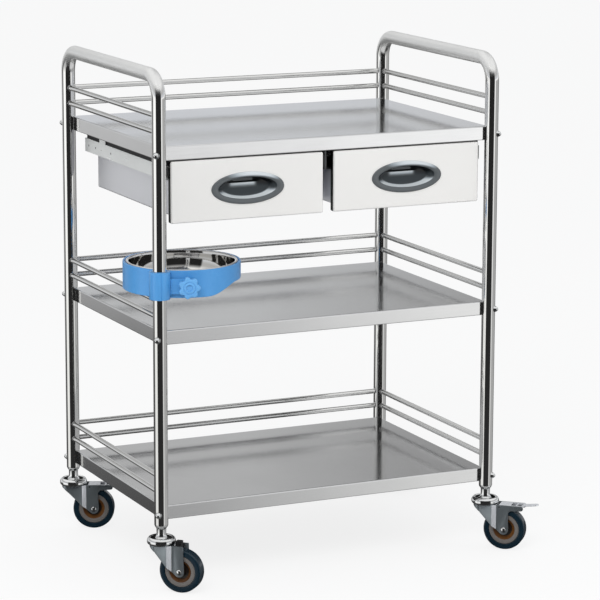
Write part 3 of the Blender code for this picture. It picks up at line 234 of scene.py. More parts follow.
def link(name: str, data: bpy.types.ID) -> bpy.types.Object:
    """Makes an object at the origin.

    Args:
        name: Name of the object.
        data: Its mesh, camera or light.

    Returns:
        The linked object.
    """
    obj = bpy.data.objects.new(name, data)
    bpy.context.scene.collection.objects.link(obj)
    return obj


def as_mesh(bm: bmesh.types.BMesh, name: str) -> bpy.types.Mesh:
    """Makes a mesh of a shape, as it is.

    Args:
        bm: The shape. It is freed.
        name: Name of the mesh.

    Returns:
        The mesh.
    """
    mesh = bpy.data.meshes.new(name)
    bm.to_mesh(mesh)
    bm.free()
    return mesh


def close_mesh(bm: bmesh.types.BMesh, name: str, merge: float = 1e-6) -> bpy.types.Mesh:
    """Joins double points, points the faces outwards and makes a mesh.

    Args:
        bm: The shape. It is freed.
        name: Name of the mesh.
        merge: Distance below which points are joined.

    Returns:
        The finished mesh.
    """
    bmesh.ops.remove_doubles(bm, verts=bm.verts, dist=merge)
    bmesh.ops.recalc_face_normals(bm, faces=bm.faces)
    return as_mesh(bm, name)


def loft(loops: Sequence[Iterable[Point]], caps: tuple[bool, bool] = (True, True), ring: bool = True,
         closed: bool = False) -> bmesh.types.BMesh:
    """A surface through loops that have the same number of points.

    Args:
        loops: The loops, in order.
        caps: Whether the first and the last loop are filled.
        ring: Whether each loop closes on itself.
        closed: Whether the last loop joins the first.

    Returns:
        The surface.
    """
    bm = bmesh.new()
    rows = [[bm.verts.new(point) for point in loop] for loop in loops]
    pairs = list(zip(rows, rows[1:]))
    if closed:
        pairs.append((rows[-1], rows[0]))
    for row, other in pairs:
        count = len(row)
        for i in range(count if ring else count - 1):
            j = (i + 1) % count
            bm.faces.new((row[i], row[j], other[j], other[i]))
    if caps[0] and not closed:
        bm.faces.new(list(reversed(rows[0])))
    if caps[1] and not closed:
        bm.faces.new(rows[-1])
    return bm


def turned(profile: Sequence[Point], steps: int, closed: bool = False) -> bmesh.types.BMesh:
    """A shape turned about Z.

    Args:
        profile: (radius, height) points down the outer side.
        steps: Facets round the axis.
        closed: Whether the profile is the section of a ring.

    Returns:
        The shape, with its poles joined.
    """
    loops = [[(r * math.cos(t), r * math.sin(t), z) for r, z in profile] for t in around(steps)]
    bm = loft(loops, caps=(False, False), ring=closed, closed=True)
    bmesh.ops.remove_doubles(bm, verts=bm.verts, dist=1e-6)
    bmesh.ops.dissolve_degenerate(bm, edges=bm.edges, dist=1e-7)
    return bm


def sweep(path: Sequence[Point], radius: float, sides: int, caps: bool = True) -> bmesh.types.BMesh:
    """A round bar along a path.

    Args:
        path: Points of the bar's axis.
        radius: Radius of the bar.
        sides: Facets round the bar.
        caps: Whether both ends are filled.

    Returns:
        The bar.
    """
    points = [Vector(point) for point in path]
    loops = []
    reference = None
    for i, point in enumerate(points):
        before = points[max(i - 1, 0)]
        after = points[min(i + 1, len(points) - 1)]
        along = (after - before).normalized()
        if reference is None:
            reference = along.orthogonal().normalized()
        reference = (reference - along * reference.dot(along)).normalized()
        other = along.cross(reference)
        loops.append([point + radius * (math.cos(t) * reference + math.sin(t) * other)
                      for t in around(sides)])
    return loft(loops, caps=(caps, caps))


def smooth(obj: bpy.types.Object, angle: float = SHARP_ANGLE) -> bpy.types.Object:
    """Shades a piece smooth, with its real edges kept sharp.

    Args:
        obj: The piece.
        angle: Least angle of an edge that stays sharp, in radians.

    Returns:
        The piece.
    """
    obj.data.shade_smooth()
    obj.data.set_sharp_from_angle(angle=angle)
    return obj


def bake_modifiers(obj: bpy.types.Object) -> bpy.types.Object:
    """Turns an object with modifiers into a plain mesh.

    Args:
        obj: The object.

    Returns:
        The same object, with its modifiers gone.
    """
    depsgraph = bpy.context.evaluated_depsgraph_get()
    mesh = bpy.data.meshes.new_from_object(obj.evaluated_get(depsgraph), depsgraph=depsgraph)
    mesh.name = obj.name
    obj.modifiers.clear()
    obj.data = mesh
    return obj


def aim_faces(bm: bmesh.types.BMesh, direction: Point) -> None:
    """Turns an open sheet so that its largest face points in a direction.

    Args:
        bm: The sheet.
        direction: Where the face points.
    """
    bmesh.ops.remove_doubles(bm, verts=bm.verts, dist=1e-6)
    bmesh.ops.recalc_face_normals(bm, faces=bm.faces)
    largest = max(bm.faces, key=lambda face: face.calc_area())
    if largest.normal.dot(Vector(direction)) < 0.0:
        bmesh.ops.reverse_faces(bm, faces=bm.faces)


def thicken(obj: bpy.types.Object, thickness: float, offset: float, even: bool) -> bpy.types.Object:
    """Gives an open sheet its thickness.

    Args:
        obj: The sheet.
        thickness: Thickness of the metal.
        offset: -1 to grow behind the faces, 0 to grow to both sides.
        even: Whether the thickness is kept at the folds.

    Returns:
        The closed piece.
    """
    wall = obj.modifiers.new("wall", "SOLIDIFY")
    wall.thickness = thickness
    wall.offset = offset
    wall.use_even_offset = even
    return bake_modifiers(obj)


def folded_sheet(bm: bmesh.types.BMesh, name: str, thickness: float, outward: Point) -> bpy.types.Object:
    """Makes a piece of an open sheet, with its thickness on the inner side.

    Args:
        bm: The sheet's outer surface. It is freed.
        name: Name of the piece.
        thickness: Thickness of the metal.
        outward: Direction of its largest face.

    Returns:
        The closed piece.
    """
    aim_faces(bm, outward)
    return thicken(link(name, as_mesh(bm, name)), thickness, -1.0, True)


def cut(obj: bpy.types.Object, tool: bmesh.types.BMesh, operation: str = "DIFFERENCE") -> bpy.types.Object:
    """Cuts a piece with a shape.

    Args:
        obj: The piece.
        tool: The cutting shape. It is freed.
        operation: Name of the boolean operation.

    Returns:
        The piece.
    """
    cutter = link("cutter", close_mesh(tool, "cutter"))
    step = obj.modifiers.new("cut", "BOOLEAN")
    step.operation = operation
    step.solver = "EXACT"
    step.object = cutter
    bake_modifiers(obj)
    bpy.data.objects.remove(cutter, do_unlink=True)
    return obj


def soften(obj: bpy.types.Object, width: float, angle: float = 35.0, segments: int = 2) -> bpy.types.Object:
    """Rounds a piece's sharp edges.

    Args:
        obj: The piece.
        width: Width of the rounding.
        angle: Least angle of an edge that is rounded, in degrees.
        segments: Steps in the rounding.

    Returns:
        The piece.
    """
    step = obj.modifiers.new("rounding", "BEVEL")
    step.width = width
    step.segments = segments
    step.limit_method = "ANGLE"
    step.angle_limit = math.radians(angle)
    step.use_clamp_overlap = True
    step.harden_normals = False
    return bake_modifiers(obj)


def set_place(obj: bpy.types.Object, place: Matrix) -> bpy.types.Object:
    """Moves a piece by moving its mesh.

    Args:
        obj: The piece.
        place: Where it goes.

    Returns:
        The piece.
    """
    obj.data.transform(place)
    obj.data.update()
    return obj


def joined(name: str, parts: Sequence[bpy.types.Object]) -> bpy.types.Object:
    """Makes one piece of several, each with its own materials.

    Args:
        name: Name of the piece.
        parts: The parts. They are removed.

    Returns:
        The piece.
    """
    bm = bmesh.new()
    materials: list[bpy.types.Material] = []
    for part in parts:
        first = len(bm.faces)
        bm.from_mesh(part.data)
        bm.faces.ensure_lookup_table()
        places = []
        for material in part.data.materials:
            if material not in materials:
                materials.append(material)
            places.append(materials.index(material))
        for face in bm.faces[first:]:
            if places:
                face.material_index = places[min(face.material_index, len(places) - 1)]
        bpy.data.objects.remove(part, do_unlink=True)
    mesh = as_mesh(bm, name)
    for material in materials:
        mesh.materials.append(material)
    return link(name, mesh)


def refined(node: str, name: str, rounding: float) -> bpy.types.Object:
    """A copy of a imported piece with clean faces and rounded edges.

    Args:
        node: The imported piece.
        name: Name of the copy.
        rounding: Width of the rounding.

    Returns:
        The copy.
    """
    bm = bmesh.new()
    bm.from_mesh(bpy.data.objects[node].data)
    bmesh.ops.remove_doubles(bm, verts=bm.verts, dist=5e-6)
    bmesh.ops.dissolve_limit(bm, angle_limit=math.radians(1.0), verts=bm.verts, edges=bm.edges)
    obj = link(name, close_mesh(bm, name))
    return soften(obj, rounding)


class NodeTree:
    """A node tree with short calls that fill it."""

    prefix = "ShaderNode"

    def __init__(self, tree: bpy.types.NodeTree) -> None:
        """Takes the tree that is filled."""
        self.tree = tree

    def link(self, source: Socket, target: Socket) -> None:
        """Joins two sockets."""
        self.tree.links.new(source, target)

    def fill(self, made: bpy.types.Node, inputs: dict) -> None:
        """Links or writes the inputs of a node.

        Args:
            made: The node.
            inputs: Values or sockets by input name or place.
        """
        for key, value in inputs.items():
            if isinstance(value, Socket):
                self.link(value, made.inputs[key])
            else:
                made.inputs[key].default_value = value

    def node(self, kind: str, inputs: Optional[dict] = None, **settings: object) -> bpy.types.Node:
        """Adds a node, sets its properties and fills its inputs.

        Args:
            kind: Blender's name of the node, in full or without the tree's usual prefix.
            inputs: Values or sockets by input name or place.
            settings: Properties of the node.

        Returns:
            The node.
        """
        made = self.tree.nodes.new(kind if "Node" in kind else f"{self.prefix}{kind}")
        for key, value in settings.items():
            setattr(made, key, value)
        self.fill(made, inputs or {})
        return made


class GeometryTree(NodeTree):
    """A geometry node tree with named inputs."""

    prefix = "GeometryNode"

    def __init__(self, name: str) -> None:
        """Starts a tree that takes a geometry and gives one back.

        Args:
            name: Name of the tree.
        """
        super().__init__(bpy.data.node_groups.new(name, "GeometryNodeTree"))
        for way in ("INPUT", "OUTPUT"):
            self.tree.interface.new_socket("Geometry", in_out=way, socket_type="NodeSocketGeometry")
        self.source = self.node("NodeGroupInput")
        self.sink = self.node("NodeGroupOutput")

    def input(self, name: str, kind: str) -> Socket:
        """Adds a named input and returns its socket."""
        self.tree.interface.new_socket(name, in_out="INPUT", socket_type=f"NodeSocket{kind}")
        return self.source.outputs[name]

    def both(self, first: Socket, second: Socket) -> Socket:
        """Joins two geometries.

        Args:
            first: One geometry.
            second: The other.

        Returns:
            Both together.
        """
        made = self.node("JoinGeometry")
        for part in (first, second):
            self.link(part, made.inputs["Geometry"])
        return made.outputs["Geometry"]

    def on_points(self, points: Socket, shape: Socket, facing: Socket,
                  finish: Socket, **chosen: Socket) -> Socket:
        """Sets a shape on points, with its Z axis in their direction.

        Args:
            points: The points.
            shape: The shape.
            facing: Direction of each point.
            finish: Material of the shapes.
            chosen: Which points get one, as Selection.

        Returns:
            The painted shapes.
        """
        turn = self.node("FunctionNodeAlignEulerToVector", {"Vector": facing}, axis="Z")
        made = self.node("InstanceOnPoints", {"Points": points, "Instance": shape,
                                              "Rotation": turn.outputs["Rotation"], **chosen})
        return self.node("SetMaterial", {"Geometry": made.outputs["Instances"],
                                         "Material": finish}).outputs["Geometry"]

    def finish(self, geometry: Socket) -> None:
        """Sends a geometry to the output, with its instances made real."""
        real = self.node("RealizeInstances", {"Geometry": geometry})
        self.fill(self.sink, {"Geometry": real.outputs["Geometry"]})

    def run(self, obj: bpy.types.Object, values: dict) -> bpy.types.Object:
        """Runs the tree on an object and keeps the plain mesh.

        Args:
            obj: The object.
            values: Values by input name.

        Returns:
            The object.
        """
        step = obj.modifiers.new(self.tree.name, "NODES")
        step.node_group = self.tree
        for item in self.tree.interface.items_tree:
            if item.item_type == "SOCKET" and item.in_out == "INPUT" and item.name in values:
                step[item.identifier] = values[item.name]
        return bake_modifiers(obj)


@cache
def bar_tree() -> GeometryTree:
    """Round bars along edges, with a weld bead at each end.

    Returns:
        The tree, made on first use.
    """
    tree = GeometryTree("bars_with_beads")
    radius = tree.input("Bar Radius", "Float")
    sides = tree.input("Bar Sides", "Int")
    bead_ring = tree.input("Bead Ring Radius", "Float")
    bead_radius = tree.input("Bead Radius", "Float")
    bar_finish = tree.input("Bar Finish", "Material")
    bead_finish = tree.input("Bead Finish", "Material")
    path = tree.node("MeshToCurve", {"Mesh": tree.source.outputs["Geometry"]})
    profile = tree.node("CurvePrimitiveCircle", {"Resolution": sides, "Radius": radius})
    bar = tree.node("CurveToMesh", {"Curve": path.outputs["Curve"], "Fill Caps": True,
                                    "Profile Curve": profile.outputs["Curve"]})
    painted = tree.node("SetMaterial", {"Geometry": bar.outputs["Mesh"], "Material": bar_finish})
    ring = tree.node("CurvePrimitiveCircle", {"Resolution": sides, "Radius": bead_ring})
    bead_profile = tree.node("CurvePrimitiveCircle", {"Resolution": 10, "Radius": bead_radius})
    bead = tree.node("CurveToMesh", {"Curve": ring.outputs["Curve"],
                                     "Profile Curve": bead_profile.outputs["Curve"]})
    ends = tree.node("CurveEndpointSelection", {"Start Size": 1, "End Size": 1})
    along = tree.node("InputTangent")
    beads = tree.on_points(path.outputs["Curve"], bead.outputs["Mesh"], along.outputs["Tangent"],
                           bead_finish, Selection=ends.outputs["Selection"])
    tree.finish(tree.both(painted.outputs["Geometry"], beads))
    return tree


@cache
def head_tree() -> GeometryTree:
    """Domed heads on points, each facing its own way.

    Returns:
        The tree, made on first use.
    """
    tree = GeometryTree("domed_heads")
    radius = tree.input("Head Radius", "Float")
    height = tree.input("Head Height", "Float")
    flange = tree.input("Flange Radius", "Float")
    sheet = tree.input("Flange Height", "Float")
    finish = tree.input("Finish", "Material")
    facing = tree.node("InputNamedAttribute", {"Name": "facing"}, data_type="FLOAT_VECTOR")
    ball = tree.node("MeshUVSphere", {"Segments": 28, "Rings": 16, "Radius": 1.0})
    size = tree.node("ShaderNodeCombineXYZ", {"X": radius, "Y": radius, "Z": height})
    dome = tree.node("Transform", {"Geometry": ball.outputs["Mesh"], "Scale": size.outputs["Vector"]})
    disc = tree.node("MeshCylinder", {"Vertices": 28, "Radius": flange, "Depth": sheet})
    head = tree.both(dome.outputs["Geometry"], disc.outputs["Mesh"])
    tree.finish(tree.on_points(tree.source.outputs["Geometry"], head, facing.outputs["Attribute"], finish))
    return tree


def points_facing(name: str, places: Sequence[tuple[Point, Point]]) -> bpy.types.Object:
    """A cloud of points that each face their own way.

    Args:
        name: Name of the object.
        places: Pairs of a point and its direction.

    Returns:
        The object.
    """
    mesh = bpy.data.meshes.new(name)
    mesh.from_pydata([tuple(point) for point, _ in places], [], [])
    layer = mesh.attributes.new("facing", "FLOAT_VECTOR", "POINT")
    for i, (_, direction) in enumerate(places):
        layer.data[i].vector = tuple(direction)
    return link(name, mesh)


def domed_heads(name: str, places: Sequence[tuple[Point, Point]], radius: float, height: float,
                flange: float, sheet: float, finish: "Finish") -> bpy.types.Object:
    """Domed heads of screws or rivets.

    Args:
        name: Name of the piece.
        places: Where each head sits, and where it points.
        radius: Radius of the dome.
        height: Height of the dome.
        flange: Radius of the rim below the dome.
        sheet: Thickness of that rim.
        finish: Finish of the heads.

    Returns:
        The piece.
    """
    heads = points_facing(name, places)
    head_tree().run(heads, {"Head Radius": radius, "Head Height": height, "Flange Radius": flange,
                            "Flange Height": sheet, "Finish": Finishes.get(finish)})
    return smooth(heads)


# Finishes


class MaterialTree(NodeTree):
    """The node tree of a material, with the patterns that finishes use."""

    def __init__(self, name: str) -> None:
        """Starts a material with a Principled shader.

        Args:
            name: Name of the material.
        """
        self.material = bpy.data.materials.new(name)
        self.material.use_nodes = True
        super().__init__(self.material.node_tree)
        self.shader = self.tree.nodes["Principled BSDF"]

    def place(self, scale: Point = (1.0, 1.0, 1.0)) -> Socket:
        """Object coordinates, stretched by scale."""
        coordinates = self.node("TexCoord").outputs["Object"]
        return self.node("Mapping", {"Vector": coordinates, "Scale": scale}).outputs["Vector"]

    def height(self) -> Socket:
        """Height above the floor, from Object coordinates."""
        return self.node("SeparateXYZ", {0: self.place()}).outputs["Z"]

    def noise(self, scale: float, detail: float = 2.0, stretch: Point = (1.0, 1.0, 1.0)) -> Socket:
        """A noise pattern on Object coordinates."""
        inputs = {"Vector": self.place(stretch), "Scale": scale, "Detail": detail}
        return self.node("TexNoise", inputs).outputs["Fac"]

    def span(self, source: Socket, low: float, high: float, start: float = 0.3,
             end: float = 0.7) -> Socket:
        """Maps a pattern from start..end to low..high."""
        inputs = {"Value": source, "From Min": start, "From Max": end, "To Min": low, "To Max": high}
        return self.node("MapRange", inputs).outputs["Result"]

    def blend(self, factor: Socket, first: Colour, second: Colour) -> Socket:
        """A colour between two, by a pattern."""
        inputs = {"Factor": factor, 6: (*first, 1.0), 7: (*second, 1.0)}
        return self.node("Mix", inputs, data_type="RGBA").outputs[2]

    def choose(self, factor: Socket, first: Socket,
               second: Socket) -> Socket:
        """Goes from one value to another by a factor."""
        return self.node("Mix", {"Factor": factor, 2: first, 3: second}, data_type="FLOAT").outputs[0]

    def bump(self, height: Socket, strength: float, distance: float) -> None:
        """Gives the shader a bump pattern."""
        made = self.node("Bump", {"Height": height, "Strength": strength, "Distance": distance})
        self.fill(self.shader, {"Normal": made.outputs["Normal"]})


def fill_ramp(ramp: bpy.types.Node, stops: Sequence[tuple[float, Point]]) -> None:
    """Writes the stops of a colour ramp.

    Args:
        ramp: The ramp's node.
        stops: Places from 0 to 1, with their colours.
    """
    elements = ramp.color_ramp.elements
    while len(elements) < len(stops):
        elements.new(0.5)
    for element, (place, colour) in zip(elements, stops):
        element.position = place
        element.color = (*colour, 1.0)


@dataclass(frozen=True)
class MetalFinish:
    """Polished or brushed metal.

    Args:
        name: Name of the material.
        colour: Colour of the bare metal.
        roughness: Lowest and highest roughness.
        grain: Stretch of the polishing lines along X, Y and Z.
        grain_scale: Fineness of the lines.
        grain_depth: Depth of the lines, in metres.
        mottle: How far the colour varies from place to place.
        metallic: Share of the surface that is bare metal.
        satin: Heights between which the metal turns satin, or none.
        satin_roughness: Lowest and highest roughness of the satin part.
        satin_metallic: Share of the satin part that is bare metal.
    """

    name: str
    colour: Colour
    roughness: tuple[float, float]
    grain: tuple[float, float, float] = (1.0, 1.0, 1.0)
    grain_scale: float = 600.0
    grain_depth: float = 0.0
    mottle: float = 0.05
    metallic: float = 1.0
    satin: Optional[tuple[float, float]] = None
    satin_roughness: tuple[float, float] = (0.38, 0.52)
    satin_metallic: float = 0.6

    def build(self) -> bpy.types.Material:
        """Makes the material.

        Returns:
            The new material.
        """
        nodes = MaterialTree(self.name)
        dark = tuple(c * (1.0 - self.mottle) for c in self.colour)
        cloud = nodes.span(nodes.noise(9.0, 3.0), 0.0, 1.0)
        lines = nodes.noise(self.grain_scale, 2.0, self.grain)
        roughness = nodes.span(lines, *self.roughness)
        metallic = self.metallic
        if self.satin:
            rise = nodes.span(nodes.height(), 0.0, 1.0, *self.satin)
            smudges = nodes.span(nodes.noise(26.0, 4.0), *self.satin_roughness)
            roughness = nodes.choose(rise, roughness, smudges)
            metallic = nodes.span(rise, self.metallic, self.satin_metallic, 0.0, 1.0)
        nodes.fill(nodes.shader, {"Base Color": nodes.blend(cloud, dark, self.colour),
                                  "Metallic": metallic, "Roughness": roughness})
        if self.grain_depth:
            nodes.bump(lines, 0.25, self.grain_depth)
        return nodes.material


@dataclass(frozen=True)
class PlasticFinish:
    """Moulded plastic or rubber.

    Args:
        name: Name of the material.
        colour: Main colour.
        worn: Colour where it varies.
        roughness: Lowest and highest roughness.
        pebble: Fineness of the surface grain.
        pebble_depth: Depth of the surface grain, in metres.
        gloss: Strength of the reflection.
    """

    name: str
    colour: Colour
    worn: Colour
    roughness: tuple[float, float]
    pebble: float = 900.0
    pebble_depth: float = 0.00003
    gloss: float = 0.5

    def build(self) -> bpy.types.Material:
        """Makes the material.

        Returns:
            The new material.
        """
        nodes = MaterialTree(self.name)
        cloud = nodes.span(nodes.noise(22.0, 3.0), 0.0, 1.0)
        grain = nodes.noise(self.pebble)
        nodes.fill(nodes.shader, {"Base Color": nodes.blend(cloud, self.colour, self.worn),
                                  "Roughness": nodes.span(grain, *self.roughness),
                                  "Specular IOR Level": self.gloss})
        nodes.bump(grain, 0.3, self.pebble_depth)
        return nodes.material


@dataclass(frozen=True)
class ToneFinish:
    """Moulded plastic whose colour follows the piece's own attribute of painted light and shade.

    Args:
        name: Name of the material.
        painted_shades: Places along the attribute from 0 to 1, from painted shade to painted highlight, with
            their colours.
        roughness: Lowest and highest roughness.
    """

    name: str
    painted_shades: tuple[tuple[float, Colour], ...]
    roughness: tuple[float, float] = (0.28, 0.36)

    def build(self) -> bpy.types.Material:
        """Makes the material.

        Returns:
            The new material.
        """
        nodes = MaterialTree(self.name)
        # Reads the painted light and shade that the pull's mesh carries.
        painted_light = nodes.node("Attribute", attribute_name=PAINTED_LIGHT_ATTRIBUTE)
        ramp = nodes.node("ValToRGB", {"Fac": painted_light.outputs["Fac"]})
        fill_ramp(ramp, self.painted_shades)
        grain = nodes.noise(900.0)
        nodes.fill(nodes.shader, {"Base Color": ramp.outputs["Color"],
                                  "Roughness": nodes.span(grain, *self.roughness)})
        nodes.bump(grain, 0.25, 0.02 * MM)
        return nodes.material


Finish = MetalFinish | PlasticFinish | ToneFinish


class Finishes:
    """All finishes of the trolley, made once."""

    TUBE = MetalFinish("polished_tube", (0.80, 0.80, 0.79), (0.05, 0.09), (1.0, 1.0, 0.06), 500.0, 0.0, 0.04,
                       satin=(0.892, 0.922))
    RAIL = MetalFinish("polished_rail", (0.78, 0.78, 0.77), (0.07, 0.12), (0.1, 0.1, 1.0), 600.0, 0.0, 0.05)
    SHEET = MetalFinish("brushed_sheet", (0.76, 0.763, 0.77), (0.10, 0.14), (0.03, 1.0, 1.0), 700.0, 0.000001,
                        0.05)
    FRONT = MetalFinish("drawer_front_sheet", (0.93, 0.92, 0.90), (0.275, 0.278), (0.03, 1.0, 1.0), 900.0,
                        0.0, 0.015, metallic=0.5)
    BOX = MetalFinish("drawer_box_sheet", (0.93, 0.94, 0.98), (0.28, 0.30), (1.0, 0.04, 1.0), 900.0, 0.0,
                      0.03, metallic=0.8)
    SLIDE = MetalFinish("slide_zinc", (0.93, 0.95, 0.94), (0.27, 0.31), (1.0, 0.2, 1.0), 90.0, 0.0, 0.06,
                        metallic=0.65)
    # Black that paints the shade on the drawer fronts' returns and in the casters' bearing wells.
    DARK = MetalFinish("oiled_steel", (0.030, 0.030, 0.030), (0.36, 0.46), (1.0, 1.0, 1.0), 300.0, 0.0, 0.2)
    ZINC = MetalFinish("caster_zinc", (0.245, 0.275, 0.292), (0.30, 0.36), (1.0, 1.0, 0.3), 90.0, 0.0, 0.08,
                       metallic=0.72)
    # Pedal plates; on the forks the same finish paints a highlight along the joggle.
    PLATE = MetalFinish("pedal_plate", (0.86, 0.88, 0.92), (0.30, 0.32), (1.0, 1.0, 1.0), 260.0, 0.0, 0.05,
                        metallic=0.5)
    # Dark steel that paints the shade on the inner slides and on the hanger under the shelf.
    SHADED = MetalFinish("inner_slide", (0.16, 0.165, 0.17), (0.34, 0.42), (1.0, 0.2, 1.0), 90.0, 0.0, 0.1)
    BRIGHT = MetalFinish("bright_plate", (0.80, 0.81, 0.81), (0.09, 0.15), (1.0, 1.0, 1.0), 260.0, 0.0, 0.06)
    BOWL = MetalFinish("bowl_steel", (0.80, 0.79, 0.77), (0.03, 0.06), (1.0, 1.0, 0.2), 500.0, 0.0, 0.05)
    # Pull plastic with painted light: painted shade in the scoop, painted highlights on the lips and the
    # ledge.
    PULL = ToneFinish("pull_grey", ((0.0, (0.002, 0.003, 0.004)), (0.22, (0.020, 0.027, 0.032)),
                                    (0.5, (0.104, 0.114, 0.120)), (0.75, (0.30, 0.34, 0.37)),
                                    (1.0, (0.66, 0.70, 0.72))))
    TYRE = PlasticFinish("tyre_rubber", (0.003, 0.013, 0.023), (0.005, 0.019, 0.031), (0.20, 0.27), 500.0,
                         0.00002, 0.4)
    HUB = PlasticFinish("hub_plastic", (0.135, 0.122, 0.114), (0.15, 0.135, 0.124), (0.40, 0.50))
    DISH = PlasticFinish("hub_dish", (0.075, 0.030, 0.010), (0.150, 0.060, 0.014), (0.30, 0.42))
    WEB = PlasticFinish("hub_web", (0.010, 0.007, 0.005), (0.020, 0.012, 0.008), (0.35, 0.45))
    # Black rubber of the stop blocks; the same black also paints the shade in the slide gap and in the slide
    # holes.
    BLOCK = PlasticFinish("black_rubber", (0.006, 0.006, 0.007), (0.009, 0.009, 0.010), (0.5, 0.62), 700.0,
                          0.00006)
    HOLDER = PlasticFinish("holder_blue", (0.070, 0.285, 0.62), (0.078, 0.305, 0.65), (0.26, 0.32))
    KNOB = PlasticFinish("knob_blue", (0.125, 0.37, 0.72), (0.135, 0.39, 0.74), (0.24, 0.30))
    WELD = MetalFinish("weld_bead", (0.60, 0.60, 0.60), (0.25, 0.40), (1.0, 1.0, 1.0), 900.0, 0.00004, 0.2)

    _made: dict[str, bpy.types.Material] = {}

    @classmethod
    def get(cls, finish: Finish) -> bpy.types.Material:
        """The material of a finish.

        Args:
            finish: One of the finishes above.

        Returns:
            Its material, made on first use.
        """
        if finish.name not in cls._made:
            cls._made[finish.name] = finish.build()
        return cls._made[finish.name]


def dress(obj: bpy.types.Object, finish: Finish) -> bpy.types.Object:
    """Gives a piece one finish.

    Args:
        obj: The piece.
        finish: Its finish.

    Returns:
        The piece.
    """
    obj.data.materials.clear()
    obj.data.materials.append(Finishes.get(finish))
    return obj


def solid(name: str, shape: bmesh.types.BMesh, finish: Finish) -> bpy.types.Object:
    """A smooth piece made of a closed shape, with one finish."""
    return dress(smooth(link(name, close_mesh(shape, name))), finish)


def paint(obj: bpy.types.Object, finish: Finish, chosen: Callable[[bpy.types.MeshPolygon], bool]) -> None:
    """Gives some faces of a piece another finish.

    Args:
        obj: The piece.
        finish: Finish of those faces.
        chosen: Says whether a face is one of them.
    """
    obj.data.materials.append(Finishes.get(finish))
    place = len(obj.data.materials) - 1
    for face in obj.data.polygons:
        if chosen(face):
            face.material_index = place


def off_axis(face: bpy.types.MeshPolygon) -> float:
    """Distance of a face's centre from the Z axis."""
    return math.hypot(face.center.x, face.center.y)


def mount(obj: bpy.types.Object, body: str, nodes: Sequence[str] = ()) -> bpy.types.Object:
    """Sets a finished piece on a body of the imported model.

    Args:
        obj: The piece.
        body: Body that it rides on.
        nodes: Nodes that it stands for.

    Returns:
        The piece.
    """
    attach(obj, body)
    if nodes:
        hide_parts(*nodes)
    LOG.info("%s rides on %s", obj.name, body)
    return obj


# Studio


@dataclass(frozen=True)
class Card:
    """A card beside the trolley that shows in its metal.

    Args:
        bearing: Direction of its middle, in degrees from +X.
        half_width: Half its width, in degrees.
        soft_edge: Width of its soft edge, in degrees.
        fade: Heights where it starts and where it is full, from 0 below to 1 above.
        shades: Heights with their brightness.
    """

    bearing: float
    half_width: float
    soft_edge: float
    fade: tuple[float, float]
    shades: tuple[tuple[float, float], ...]


@dataclass(frozen=True)
class Lamp:
    """A round soft lamp that points at the trolley.

    Args:
        name: Name of the lamp.
        place: Where it stands.
        size: Its diameter.
        power: Its power in watts.
    """

    name: str
    place: tuple[float, float, float]
    size: float
    power: float


